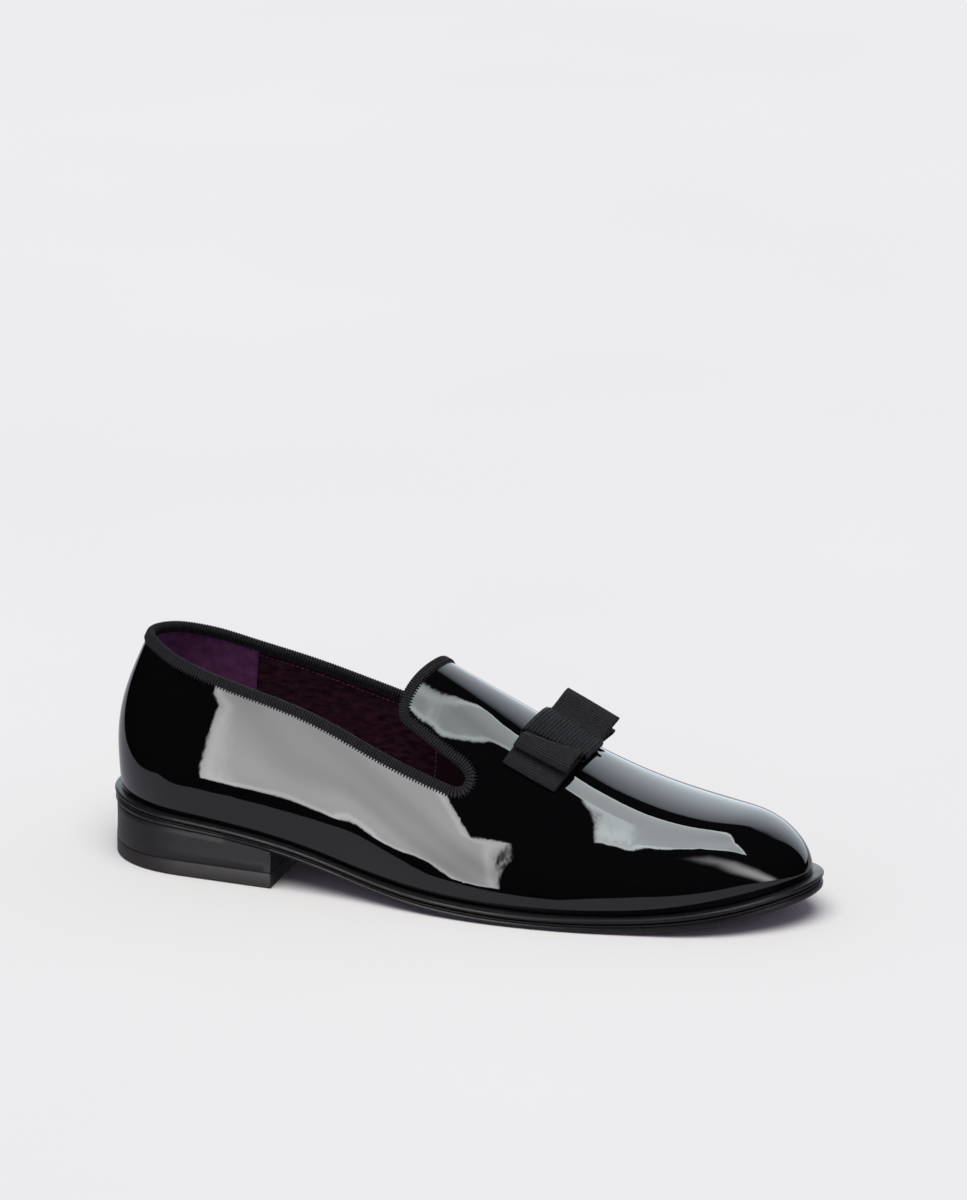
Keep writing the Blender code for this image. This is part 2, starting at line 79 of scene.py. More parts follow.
# %% Camera
def put(name, data):
    """An object that shows a mesh, lamp or lens, in the scene."""
    made = bpy.data.objects.new(name, data)
    bpy.context.scene.collection.objects.link(made)
    return made


AZIMUTH = math.radians(17.1)
ELEVATION = math.radians(18.0)
DISTANCE = 2.5
LENS_MM = 183.75
SENSOR_MM = 36.0
AIM = Vector((-0.0002, 0.0023, 0.0))     # on the floor, under the middle of the shoe
STAND_RIGHT = 0.0076                     # lens off the line to AIM, so the shoe sits low in the picture
STAND_UP = 0.1134

backward = Vector((
    math.sin(AZIMUTH) * math.cos(ELEVATION),
    -math.cos(AZIMUTH) * math.cos(ELEVATION),
    math.sin(ELEVATION),
))
rightward = Vector((math.cos(AZIMUTH), math.sin(AZIMUTH), 0.0))
upward = backward.cross(rightward)

lens = bpy.data.cameras.new("camera")
lens.lens = LENS_MM
lens.sensor_width = SENSOR_MM
lens.clip_start = 0.05
lens.clip_end = 50.0
camera = put("camera", lens)
place = AIM + DISTANCE * backward + STAND_RIGHT * rightward + STAND_UP * upward
turned = Matrix((rightward, upward, backward)).transposed().to_4x4()
camera.matrix_world = Matrix.Translation(place) @ turned
bpy.context.scene.camera = camera
print("camera stands at", tuple(round(v, 3) for v in place))

# %% [markdown]
# ## The last
#
# A shoemaker starts from a last, the wooden form of the foot. Here the last is a function: tables
# give the half widths, the ridge and the shoulders of sections along the shoe, and smooth curves
# run through them. `surface(u, t)` is then any point of the outside, with u from the back to the
# toe and t from the outer lower edge over the ridge to the inner one. The same tables shaped the
# solids, so everything built on this function lies where the solids lie.

# %% Sizes of the last and the sole
def sizes(columns, *rows):
    """A table of sizes, its columns named in one line."""
    return np.array(list(rows), dtype=[(column, float) for column in columns.split()])


WALL = 0.0016            # leather and lining together
GAP = 0.0003             # left between pieces that meet
BACK_X = 0.0024          # ends of the last, from the back of the sole
TOE_X = 0.2955
HEEL_ROUND = 0.036       # lengths over which heel and toe are rounded in plan
TOE_ROUND = 0.066
TOE_CAP_ROUND = 0.030    # length over which the toe is rounded in profile
NOSE_POWER = 2.5         # how blunt heel and toe are
TUCK = 0.0025            # how far the leather turns in at its lower edge
BULGE = 0.0015           # how far it stands out just above that
LEAN_FADE = 0.055        # length over which the back's lean fades out
CONTROL_HEIGHTS = (0.0, 0.20, 0.52, 0.93)  # of the points that shape a side, as shares of its height
SECTIONS = sizes(
    "x lateral medial ridge_z ridge_y lateral_wall medial_wall lateral_shoulder medial_shoulder",
    (0.000, 0.0290, 0.0300, 0.1020, 0.000, 0.93, 0.93, 0.70, 0.70),
    (0.040, 0.0324, 0.0300, 0.1060, 0.000, 0.93, 0.93, 0.70, 0.70),
    (0.075, 0.0352, 0.0295, 0.1075, 0.000, 0.93, 0.93, 0.66, 0.68),
    (0.110, 0.0385, 0.0275, 0.1040, 0.002, 0.90, 0.96, 0.52, 0.66),
    (0.140, 0.0440, 0.0300, 0.0905, 0.004, 0.86, 0.96, 0.44, 0.60),
    (0.165, 0.0470, 0.0360, 0.0780, 0.004, 0.86, 0.94, 0.44, 0.54),
    (0.190, 0.0475, 0.0410, 0.0652, 0.004, 0.88, 0.94, 0.46, 0.52),
    (0.215, 0.0455, 0.0430, 0.0538, 0.003, 0.92, 0.94, 0.52, 0.55),
    (0.240, 0.0415, 0.0415, 0.0460, 0.002, 0.95, 0.95, 0.56, 0.58),
    (0.265, 0.0377, 0.0365, 0.0422, 0.001, 0.96, 0.96, 0.58, 0.58),
    (0.300, 0.0298, 0.0255, 0.0390, 0.000, 0.96, 0.96, 0.58, 0.58),
)
SOLE = sizes(
    "x top under reach",
    (0.000, 0.0290, 0.0225, 0.0028),
    (0.030, 0.0260, 0.0205, 0.0026),
    (0.078, 0.0208, 0.0160, 0.0026),
    (0.095, 0.0174, 0.0122, 0.0026),
    (0.118, 0.0120, 0.0066, 0.0028),
    (0.140, 0.0085, 0.0025, 0.0032),
    (0.160, 0.0069, 0.0005, 0.0034),
    (0.175, 0.0062, 0.0000, 0.0036),
    (0.215, 0.0064, 0.0000, 0.0036),
    (0.240, 0.0080, 0.0012, 0.0038),
    (0.270, 0.0125, 0.0053, 0.0048),
    (0.300, 0.0190, 0.0118, 0.0044),
)
LEAN = sizes(            # how far the back leans forward at a height
    "z forward",
    (0.020, 0.0016), (0.030, 0.0006), (0.042, 0.0000), (0.052, 0.0000),
    (0.066, 0.0021), (0.081, 0.0073), (0.094, 0.0130), (0.115, 0.0220),
)
SWING = sizes(           # how far a section's inner side is swung ahead of its outer side
    "x swing",
    (0.065, 0.000), (0.075, 0.000), (0.092, 0.003), (0.125, 0.022), (0.160, 0.019),
    (0.200, 0.011), (0.250, 0.002), (0.280, 0.000), (0.290, 0.000),
)
print(f"last {TOE_X - BACK_X:.4f} m long, {len(SECTIONS)} sections")


# %% Smooth curves through the tables
def curve(table, column):
    """Natural cubic spline through one column of a table."""
    xs = table[table.dtype.names[0]]
    ys = table[column]
    step = np.diff(xs)
    count = len(xs)
    matrix = np.eye(count)
    right = np.zeros(count)
    for i in range(1, count - 1):
        matrix[i, i - 1:i + 2] = step[i - 1], 2 * (step[i - 1] + step[i]), step[i]
        right[i] = 6 * ((ys[i + 1] - ys[i]) / step[i] - (ys[i] - ys[i - 1]) / step[i - 1])
    bend = np.linalg.solve(matrix, right)

    def value(x):
        x = np.clip(x, xs[0], xs[-1])
        k = np.clip(np.searchsorted(xs, x) - 1, 0, count - 2)
        a = (xs[k + 1] - x) / step[k]
        b = (x - xs[k]) / step[k]
        lift = ((a**3 - a) * bend[k] + (b**3 - b) * bend[k + 1]) * step[k]**2 / 6
        return a * ys[k] + b * ys[k + 1] + lift
    return value


section = {name: curve(SECTIONS, name) for name in SECTIONS.dtype.names[1:]}
lean = curve(LEAN, "forward")
swing = curve(SWING, "swing")
sole_top = curve(SOLE, "top")
sole_reach = curve(SOLE, "reach")
sole_under_curve = curve(SOLE, "under")


def sole_under(x):
    return np.maximum(sole_under_curve(x), 0.0)


def closing(x, end, length):
    """1 along the shoe, falling to 0 at an end as a rounded nose does."""
    s = np.clip(1 - np.abs(x - end) / length, 0, 1)
    return np.sqrt(np.clip(1 - s**NOSE_POWER, 0, 1))


def smooth(s):
    s = np.clip(s, 0, 1)
    return s * s * (3 - 2 * s)


def station(u):
    """Place along the shoe for u from 0 at the back to 1 at the toe, closer near the ends."""
    return BACK_X + (TOE_X - BACK_X) * (1 - np.cos(np.pi * u)) / 2


def along(x):
    return np.arccos(np.clip(1 - 2 * (x - BACK_X) / (TOE_X - BACK_X), -1, 1)) / np.pi


# %% The outside of the shoe as a function
def spread(t, count=9, degree=3):
    """Weights of a cubic B-spline's control points at t from 0 to 1, its ends clamped."""
    inner = np.linspace(0, 1, count - degree + 1)
    knots = np.concatenate([np.zeros(degree), inner, np.ones(degree)])
    t = np.clip(t, 0, 1 - 1e-12)
    weights = [((knots[i] <= t) & (t < knots[i + 1])).astype(float) for i in range(len(knots) - 1)]
    for d in range(1, degree + 1):
        raised = []
        for i in range(len(knots) - 1 - d):
            rise = knots[i + d] - knots[i]
            fall = knots[i + d + 1] - knots[i + 1]
            weight = np.zeros_like(t)
            if rise > 0:
                weight = weight + (t - knots[i]) / rise * weights[i]
            if fall > 0:
                weight = weight + (knots[i + d + 1] - t) / fall * weights[i + 1]
            raised.append(weight)
        weights = raised
    return np.stack(weights, axis=-1)


def surface(u, t):
    """Point of the shoe's outside at u along it and t across it."""
    u, t = np.broadcast_arrays(np.asarray(u, float), np.asarray(t, float))
    x = station(u)
    form = {name: f(x) for name, f in section.items()}
    narrow = closing(x, BACK_X, HEEL_ROUND) * closing(x, TOE_X, TOE_ROUND)
    foot = sole_top(x)
    height = (form["ridge_z"] - foot) * closing(x, TOE_X, TOE_CAP_ROUND)

    def side(sign, half, wall, shoulder):
        outs = (half - TUCK, half + BULGE, half * wall, half * shoulder)
        return [(sign * out * narrow, foot + up * height) for out, up in zip(outs, CONTROL_HEIGHTS)]

    lateral = side(-1, form["lateral"], form["lateral_wall"], form["lateral_shoulder"])
    medial = side(1, form["medial"], form["medial_wall"], form["medial_shoulder"])
    ridge = (form["ridge_y"] * narrow, foot + height * (6 - 2 * CONTROL_HEIGHTS[-1]) / 4)
    control = lateral + [ridge] + medial[::-1]
    weights = spread(t)
    y = sum(weights[..., i] * point[0] for i, point in enumerate(control))
    z = sum(weights[..., i] * point[1] for i, point in enumerate(control))
    across = 2 * t - 1
    x = x + lean(z) * np.exp(-((x - BACK_X) / LEAN_FADE)**2)
    x = x + swing(station(u)) * across / 2 * (1 - across**4)
    return np.stack([x, y, z], axis=-1)


def unit(direction):
    return direction / np.linalg.norm(direction, axis=-1, keepdims=True)


def slopes(u, t, step=1e-4):
    """The surface's two directions, taken inward from its ends, and its outward normal."""
    u, t = np.broadcast_arrays(np.asarray(u, float), np.asarray(t, float))
    u0, u1 = np.clip(u - step, 0, 1), np.clip(u + step, 0, 1)
    t0, t1 = np.clip(t - step, 0, 1), np.clip(t + step, 0, 1)
    du = (surface(u1, t) - surface(u0, t)) / (u1 - u0)[..., None]
    dt = (surface(u, t1) - surface(u, t0)) / (t1 - t0)[..., None]
    return du, dt, unit(np.cross(du, dt))


BALL_X = 0.19
print("ridge over the ball of the foot:", surface(along(BALL_X), 0.5).round(4))

# %% [markdown]
# ## From points to a piece
#
# The tables measure from the back of the sole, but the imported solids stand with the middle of
# their box over the origin. One helper moves points into that frame, and another turns a list of
# points and faces into an object: it welds points that coincide, turns the faces outward, shades
# the mesh smooth, and ties the object to the shoe's one body.

# %% Helpers that make a piece
FRAME_STEPS = 38         # the solids' own number of steps along a side
WELD = 1e-6              # points closer than this become one
SHARP = math.radians(40)  # edges sharper than this stay sharp


def outline(reach, offset, steps):
    """Plan outline offset from the leather's lower edge: outer side then inner, back to toe.

    With reach, it also goes out as far as the sole does.
    """
    sides = []
    for t, sign in ((0.0, -1.0), (1.0, 1.0)):
        spot = surface(steps, t)[:, :2]
        ahead = surface(np.clip(steps + 1e-4, 0, 1), t)[:, :2]
        behind = surface(np.clip(steps - 1e-4, 0, 1), t)[:, :2]
        run = unit(ahead - behind)
        out = np.stack([-sign * run[:, 1], sign * run[:, 0]], axis=1)
        far = offset + (sole_reach(spot[:, 0]) if reach else 0.0)
        sides.append(spot + out * np.broadcast_to(far, len(steps))[:, None])
    for end in (0, -1):
        if abs(steps[end] - round(steps[end])) < 1e-9:
            sides[0][end] = sides[1][end] = (sides[0][end] + sides[1][end]) / 2
    return sides


frame_ring = np.concatenate(outline(True, 0.0, np.linspace(0, 1, FRAME_STEPS)))
frame_middle = 0.5 * (frame_ring.min(axis=0) + frame_ring.max(axis=0))
to_frame = np.array([-frame_middle[0], -frame_middle[1], 0.0])


def quads(*blocks, closed=False):
    """Points and quads of blocks (rows, columns, 3); closed joins the last column to the first."""
    points = []
    faces = []
    for block in blocks:
        rows, columns = block.shape[:2]
        first = len(points)
        points.extend(block.reshape(-1, 3))
        for i in range(rows - 1):
            corner = first + i * columns
            for j in range(columns if closed else columns - 1):
                k = (j + 1) % columns
                faces.append((corner + j, corner + k, corner + columns + k, corner + columns + j))
    return points, faces


def piece(name, points, faces, look, slot, sharp=False, ribs=None):
    """A named object from points in the tables' frame, tied to the shoe's body.

    ribs, where given, is kept on the points: 0 in a groove of the ribbon, 1 on a rib. The finish paints
    shade into the grooves from it.
    """
    mesh = bpy.data.meshes.new(name)
    moved = np.asarray(points) + to_frame
    mesh.from_pydata(moved.tolist(), [], [tuple(face) for face in faces])
    if ribs is not None:
        # Kept for the painted shade that the ribbon's finish puts into the grooves.
        mesh.attributes.new("rib", "FLOAT", "POINT").data.foreach_set("value", np.ravel(ribs))
    work = bmesh.new()
    work.from_mesh(mesh)
    bmesh.ops.remove_doubles(work, verts=work.verts, dist=WELD)
    bmesh.ops.dissolve_degenerate(work, edges=work.edges, dist=WELD)
    bmesh.ops.recalc_face_normals(work, faces=work.faces)
    work.to_mesh(mesh)
    work.free()
    mesh.shade_smooth()
    if sharp:
        mesh.set_sharp_from_angle(angle=SHARP)
    mesh.materials.append(look)
    made = put(name, mesh)
    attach(made, "root")
    print(f"{name}: {len(mesh.polygons)} faces")
    return made


def thicken(made, thickness, offset):
    shell = made.modifiers.new("wall", "SOLIDIFY")
    shell.thickness = thickness
    shell.offset = offset
    shell.use_even_offset = True
    return made


print("frame moved by", to_frame.round(5))

# %% [markdown]
# ## Helpers for the finishes
#
# Every finish starts from the Principled shader. A value that is the same all over goes straight
# onto the shader's socket. What varies, such as nap, grain or weave, comes from noise in the
# object's own coordinates, so it sits still on the piece whatever the view.

# %% Helpers for the finishes
def finish(name, colour, roughness, **sockets):
    """A material with its constant values; underscores in a socket's name stand for spaces."""
    look = bpy.data.materials.new(name)
    look.use_nodes = True
    shader = look.node_tree.nodes["Principled BSDF"]
    shader.inputs["Base Color"].default_value = (*colour, 1.0)
    shader.inputs["Roughness"].default_value = roughness
    for socket, value in sockets.items():
        shader.inputs[socket.replace("_", " ")].default_value = value
    print("finish", name)
    return look


def noise(look, scale, detail, stretch):
    """Noise over the piece; scale is how many features fit in a metre."""
    nodes, links = look.node_tree.nodes, look.node_tree.links
    spot = nodes.new("ShaderNodeTexCoord")
    sized = nodes.new("ShaderNodeMapping")
    sized.inputs["Scale"].default_value = stretch
    cloud = nodes.new("ShaderNodeTexNoise")
    cloud.inputs["Scale"].default_value = scale
    cloud.inputs["Detail"].default_value = detail
    links.new(spot.outputs["Object"], sized.inputs["Vector"])
    links.new(sized.outputs["Vector"], cloud.inputs["Vector"])
    return cloud.outputs["Fac"]


def bump(look, scale, detail, depth, stretch=(1.0, 1.0, 1.0), socket="Normal"):
    """Raise the surface by noise, depth metres from its lowest to its highest."""
    height = noise(look, scale, detail, stretch)
    nodes, links = look.node_tree.nodes, look.node_tree.links
    shader = nodes["Principled BSDF"]
    raised = nodes.new("ShaderNodeBump")
    raised.inputs["Distance"].default_value = depth
    earlier = shader.inputs[socket].links
    if earlier:
        links.new(earlier[0].from_socket, raised.inputs["Normal"])
    links.new(height, raised.inputs["Height"])
    links.new(raised.outputs["Normal"], shader.inputs[socket])


def vary(look, pattern, socket, stops):
    """Colour or value of a socket along a pattern, from (place, colour) stops."""
    nodes, links = look.node_tree.nodes, look.node_tree.links
    ramp = nodes.new("ShaderNodeValToRGB")
    for element, (spot, colour) in zip(ramp.color_ramp.elements, stops):
        element.position = spot
        element.color = (*colour, 1.0)
    links.new(pattern, ramp.inputs["Fac"])
    links.new(ramp.outputs["Color"], nodes["Principled BSDF"].inputs[socket])


def mottle(look, scale, detail, low, high, stretch=(1.0, 1.0, 1.0), socket="Base Color"):
    """Vary a socket by noise between two (place, colour) stops."""
    vary(look, noise(look, scale, detail, stretch), socket, (low, high))


def even(value):
    return (value, value, value)


# %% [markdown]
# ## Upper
#
# The upper is one skin of black patent leather, cut with a tongue and open at the top. It could
# be sculpted, but the last already knows every point, so the skin is four grids on it: a quarter
# each side, the tongue between them, and the forepart. They share their rows at the notch and are
# welded there. Patent leather shows its shape only through mirrored light, so a few soft troughs
# and swells are placed where the leather was pulled over the last.

# %% Cut of the upper
TOPLINE = sizes(         # the t at which a quarter is cut
    "x share",
    (0.000, 0.346), (0.008, 0.331), (0.018, 0.308), (0.031, 0.284), (0.051, 0.256),
    (0.070, 0.237), (0.085, 0.224), (0.100, 0.213), (0.117, 0.207), (0.141, 0.204),
    (0.170, 0.203),
)
TONGUE = sizes(          # half the tongue's width, as a t
    "x half",
    (0.130, 0.214), (0.147, 0.229), (0.158, 0.242), (0.170, 0.250),
)
NOTCH_X = 0.1655         # bottom of the notch beside the tongue
NOTCH_SHARE = 0.232
NOTCH_ROUND = 0.0055
TIP_X = 0.1375           # tongue's tip, how its corners round, and how its edge runs back
TIP_ROUND = 0.0110
TIP_TILT = 0.0100
topline = curve(TOPLINE, "share")
tongue_half = curve(TONGUE, "half")


def notch_turn(x):
    s = np.clip(1 - (NOTCH_X - x) / NOTCH_ROUND, 0, 1)
    return np.sqrt(1 - s * s)


def cut_top(x):
    """Top line of the quarters, turning up round the notch."""
    return NOTCH_SHARE + (topline(x) - NOTCH_SHARE) * notch_turn(x)


def cut_tongue(x):
    """Half the tongue's width, closing to the notch."""
    closed = 0.5 - NOTCH_SHARE
    return closed + (tongue_half(x) - closed) * notch_turn(x)


def upper_blocks(quarter_count, tongue_count, quarter_steps, notch_steps, tongue_steps, fore_steps):
    """The four grids of the upper as (u, t), and the cut edge once round."""
    quarter_columns = np.linspace(0, 1, quarter_count)
    tongue_columns = np.sin(np.linspace(-np.pi / 2, np.pi / 2, tongue_count))
    notch_u, round_u = along(NOTCH_X), along(NOTCH_X - NOTCH_ROUND)
    turn = np.sin(np.linspace(0, np.pi / 2, notch_steps + 1))
    notch_rows = round_u + (notch_u - round_u) * turn
    rows = np.concatenate([np.linspace(0, round_u, quarter_steps), notch_rows[1:]])
    quarter_t = cut_top(station(rows))[:, None] * quarter_columns
    quarter_u = np.broadcast_to(rows[:, None], quarter_t.shape)
    tip = TIP_X - TIP_TILT * tongue_columns**2
    tip = tip + TIP_ROUND * (1 - np.sqrt(1 - np.abs(tongue_columns)**3))
    share = np.linspace(0, 1, tongue_steps + 1)[:, None]
    tongue_x = tip + (NOTCH_X - NOTCH_ROUND - tip) * share
    tongue_x = np.concatenate([tongue_x, station(notch_rows[1:])[:, None] + 0 * tip])
    tongue_t = 0.5 + tongue_columns * cut_tongue(tongue_x)
    tongue_u = along(tongue_x)
    fore_t = np.concatenate([
        quarter_columns * NOTCH_SHARE,
        (0.5 + tongue_columns * (0.5 - NOTCH_SHARE))[1:-1],
        (1 - quarter_columns * NOTCH_SHARE)[::-1],
    ])
    fore_u, fore_t = np.meshgrid(np.linspace(notch_u, 1, fore_steps), fore_t, indexing="ij")
    blocks = [(quarter_u, quarter_t), (quarter_u, 1 - quarter_t), (tongue_u, tongue_t), (fore_u, fore_t)]
    edge = np.concatenate([
        np.column_stack([rows, quarter_t[:, -1]]),
        np.column_stack([tongue_u[:-1, 0], tongue_t[:-1, 0]])[::-1],
        np.column_stack([tongue_u[0, 1:], tongue_t[0, 1:]]),
        np.column_stack([tongue_u[1:-1, -1], tongue_t[1:-1, -1]]),
        np.column_stack([rows, 1 - quarter_t[:, -1]])[::-1],
    ])
    return blocks, edge


print(f"tongue {NOTCH_X - TIP_X:.4f} m long from notch to tip")

# %% Finish of the patent leather
patent = finish(
    "patent_leather", (0.0025, 0.0024, 0.0028), 0.35,
    Specular_IOR_Level=0.0, Coat_Weight=1.0, Coat_Roughness=0.012, Coat_IOR=1.54,
)
bump(patent, 60.0, 1.0, 0.00006, socket="Coat Normal")
bump(patent, 280.0, 1.5, 0.000008, socket="Coat Normal")

# %% Soft troughs and swells pulled into the leather
# One row each: two ends on the last, width, and depth (a swell has a negative depth).
PULLS = sizes(
    "x_a t_a x_b t_b width depth",
    (0.1670, 0.200, 0.1830, 0.110, 0.0060, 0.00007),
    (0.2160, 0.300, 0.2260, 0.200, 0.0065, 0.00006),
    (0.0500, 0.220, 0.0460, 0.080, 0.0070, -0.00005),
    (0.1900, 0.780, 0.1750, 0.880, 0.0070, 0.00007),
)


def pulled(spots, normals):
    """The skin's points moved along its normals by the pulls."""
    sunk = np.zeros(spots.shape[:-1])
    for pull in PULLS:
        first = surface(along(pull["x_a"]), pull["t_a"])
        run = surface(along(pull["x_b"]), pull["t_b"]) - first
        share = np.clip((spots - first) @ run / (run @ run), 0, 1)
        gap = np.linalg.norm(spots - first - share[..., None] * run, axis=-1)
        sunk += pull["depth"] * np.exp(-(gap / pull["width"])**2)
    return spots - sunk[..., None] * normals


# %% Skin of the upper
SKIN = 0.0007            # the leather alone
skin_blocks, cut_edge = upper_blocks(
    quarter_count=34, tongue_count=57, quarter_steps=112, notch_steps=12, tongue_steps=30, fore_steps=122)
skin_grids = [pulled(surface(u, t), np.nan_to_num(slopes(u, t)[2])) for u, t in skin_blocks]
upper_skin = thicken(piece("upper_skin", *quads(*skin_grids), patent, "upper"), SKIN, -1)
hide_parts("upper")

# %% [markdown]
# ## Lining and heel grip
#
# Inside, the forepart is lined with smooth dark leather and the quarters with leather that has its
# nap turned out, and a stitched seam runs up between them. A suede grip the colour of plums wraps
# the back of the heel, with an upright front edge each side. The lining uses the same four grids,
# coarser, set in by a little more than the skin's thickness. The grip is a strip of its own on it.

# %% Finishes of lining and suede
lining_leather = finish("lining_leather", (0.020, 0.006, 0.012), 0.55, Specular_IOR_Level=0.3)
mottle(lining_leather, 160.0, 4.0, (0.30, (0.013, 0.004, 0.008)), (0.72, (0.030, 0.010, 0.018)))
bump(lining_leather, 1400.0, 3.0, 0.00008)

napped_leather = finish("napped_leather", (0.028, 0.008, 0.017), 0.9, Specular_IOR_Level=0.1,
                        Sheen_Weight=0.25, Sheen_Roughness=0.4, Sheen_Tint=(0.6, 0.25, 0.4, 1.0))
mottle(napped_leather, 420.0, 5.0, (0.32, (0.011, 0.003, 0.007)), (0.74, (0.066, 0.022, 0.038)),
       stretch=(0.5, 0.5, 1.6))
bump(napped_leather, 2400.0, 4.0, 0.00015, (0.5, 0.5, 1.6))

suede = finish("plum_suede", (0.15, 0.046, 0.14), 0.95, Specular_IOR_Level=0.15,
               Sheen_Weight=0.3, Sheen_Roughness=0.4, Sheen_Tint=(0.60, 0.35, 0.60, 1.0))
mottle(suede, 220.0, 5.0, (0.28, (0.110, 0.034, 0.100)), (0.75, (0.205, 0.070, 0.190)))
bump(suede, 2600.0, 4.0, 0.00014)

# %% Lining
LINING = 0.0008          # from the shoe's outside to the lining's back
LINING_SEAM_X = 0.1300   # the nap is turned out behind this
lining_blocks, _ = upper_blocks(
    quarter_count=16, tongue_count=27, quarter_steps=54, notch_steps=6, tongue_steps=14, fore_steps=60)
lining_grids = [surface(u, t) for u, t in lining_blocks]
lining = piece("lining", *quads(*lining_grids), lining_leather, "insole")
for vertex, normal in zip(lining.data.vertices, [n.vector.copy() for n in lining.data.vertex_normals]):
    vertex.co -= LINING * normal
lining.data.materials.append(napped_leather)
for face in lining.data.polygons:
    if face.center.x - to_frame[0] < LINING_SEAM_X:
        face.material_index = 1
thicken(lining, WALL - LINING, -1)

# %% Heel grip
GRIP_X = 0.051           # its upright front edge
GRIP_LOW = 0.06          # of the way up to the cut
GRIP_HIGH = 0.945
GRIP_THICK = 0.0004
GRIP_CLEAR = 0.00005     # between grip and lining
GRIP_BACK = 0.004        # where its two halves start, beside the back seam, as a u
GRIP_COLUMNS = 34
GRIP_ROWS = 22
half_u = np.linspace(GRIP_BACK, along(GRIP_X), GRIP_COLUMNS)
grip_u = np.concatenate([half_u[::-1], half_u])[:, None]
outer_side = (np.arange(2 * GRIP_COLUMNS) < GRIP_COLUMNS)[:, None]
grip_share = np.linspace(GRIP_LOW, GRIP_HIGH, GRIP_ROWS)
grip_t = cut_top(station(grip_u)) * grip_share
grip_t = np.where(outer_side, grip_t, 1 - grip_t)
grip_normal = slopes(grip_u, grip_t)[2]
grip_grid = surface(grip_u, grip_t) - (WALL + GRIP_CLEAR) * grip_normal
thicken(piece("heel_grip", *quads(grip_grid), suede, "insole"), GRIP_THICK, -1)

# %% [markdown]
# ## Binding
#
# A ribbed ribbon is folded over the whole cut edge and sewn down. A curve with a bevel would give
# a plain tube. Instead the ribbon's own cross section, a narrow U, is carried along the edge, one
# fifth of a rib at a time, and each rib swells a little. The grooves between ribs are deep and see
# little light, so each point also keeps its height on the rib, and the finish paints shade into them.

# %% Finish of the ribbed ribbon
ribbon_black = finish("ribbed_ribbon", (0.010, 0.010, 0.012), 0.75, Specular_IOR_Level=0.15)
# Painted shade: the rib value on the points gives the grooves a darker base colour than the ribs.
groove_shade_input = ribbon_black.node_tree.nodes.new("ShaderNodeAttribute")
groove_shade_input.attribute_name = "rib"
vary(ribbon_black, groove_shade_input.outputs["Fac"], "Base Color",
     ((0.20, (0.0020, 0.0020, 0.0026)), (0.85, (0.0220, 0.0215, 0.0250))))
mottle(ribbon_black, 900.0, 3.0, (0.3, even(0.66)), (0.7, even(0.86)), socket="Roughness")
bump(ribbon_black, 3200.0, 2.0, 0.00006)

# %% The cut edge, one fifth of a rib at a time
RIB_PITCH = 0.00112
RIB_SAMPLES = 5
BINDING_LEG = 0.0029     # how far the ribbon reaches down each side
BINDING_THICK = 0.0006
RIB_SWELL = 0.00018
AHEAD = 3                # samples looked ahead and back for the edge's direction


def length_along(spots):
    """Length along a line of spots, from 0 at its start."""
    return np.concatenate([[0.0], np.cumsum(np.linalg.norm(np.diff(spots, axis=0), axis=1))])


edge_run = length_along(surface(cut_edge[:, 0], cut_edge[:, 1]))
rib_count = int(round(edge_run[-1] / RIB_PITCH))
rib_places = (np.arange(rib_count * RIB_SAMPLES) + 0.5) * edge_run[-1] / (rib_count * RIB_SAMPLES)
bind_u = np.interp(rib_places, edge_run, cut_edge[:, 0])
bind_t = np.interp(rib_places, edge_run, cut_edge[:, 1])
rib_wave = np.cos(2 * np.pi * (np.arange(len(bind_u)) + 0.5) / RIB_SAMPLES)
bind_edge = surface(bind_u, bind_t)
bind_du, bind_dt, bind_out = slopes(bind_u, bind_t)
bind_ahead = unit(np.roll(bind_edge, -AHEAD, axis=0) - np.roll(bind_edge, AHEAD, axis=0))
bind_in = unit(np.cross(bind_ahead, bind_out))
print(f"cut edge {edge_run[-1]:.3f} m long, {rib_count} ribs")


def dot(a, b):
    return np.sum(a * b, axis=-1)


def off_edge(depth, off):
    """Points a depth into the leather from its cut edge, then off its outside."""
    depth = np.broadcast_to(depth, bind_u.shape)
    uu = dot(bind_du, bind_du)
    ut = dot(bind_du, bind_dt)
    tt = dot(bind_dt, bind_dt)
    ru = dot(bind_du, bind_in)
    rt = dot(bind_dt, bind_in)
    det = uu * tt - ut * ut
    u = np.clip(bind_u + depth * (ru * tt - rt * ut) / det, 0, 1)
    t = bind_t + depth * (rt * uu - ru * ut) / det
    within = surface(u, t) + np.reshape(off, (-1, 1)) * slopes(u, t)[2]
    beyond = bind_edge + depth[:, None] * bind_in + np.reshape(off, (-1, 1)) * bind_out
    return np.where((depth > 0)[:, None], within, beyond)


# %% Binding
FOLD = 0.5 * WALL + GAP + BINDING_THICK      # radius of the fold over the edge
FOLD_DEPTH = 0.0006
INSIDE = -WALL - GAP
# Each row of the ribbon's section: depth from the cut edge, height off it, and the way its ribs swell.
outer_leg = [(share * BINDING_LEG, FOLD - 0.5 * WALL, 0.0, 1.0) for share in (1, 0.96, 0.8, 0.6, 0.4, 0.25)]
fold = [
    (FOLD_DEPTH - FOLD * math.sin(a), -0.5 * WALL + FOLD * math.cos(a), -math.sin(a), math.cos(a))
    for a in np.linspace(0, math.pi, 9)
]
inner_leg = [(share * BINDING_LEG, INSIDE - BINDING_THICK, 0.0, -1.0) for share in (0.3, 0.6, 0.96, 1)]
underside = [(BINDING_LEG, INSIDE), (0.0, INSIDE), (-0.0003, -0.5 * WALL), (0.0, GAP), (BINDING_LEG, GAP)]
binding_rows = []
for depth, off, swell_depth, swell_off in outer_leg + fold + inner_leg:
    low = depth + RIB_SWELL * swell_depth * rib_wave
    binding_rows.append(off_edge(low, off + RIB_SWELL * swell_off * rib_wave))
for depth, off in underside:
    binding_rows.append(off_edge(depth, off))
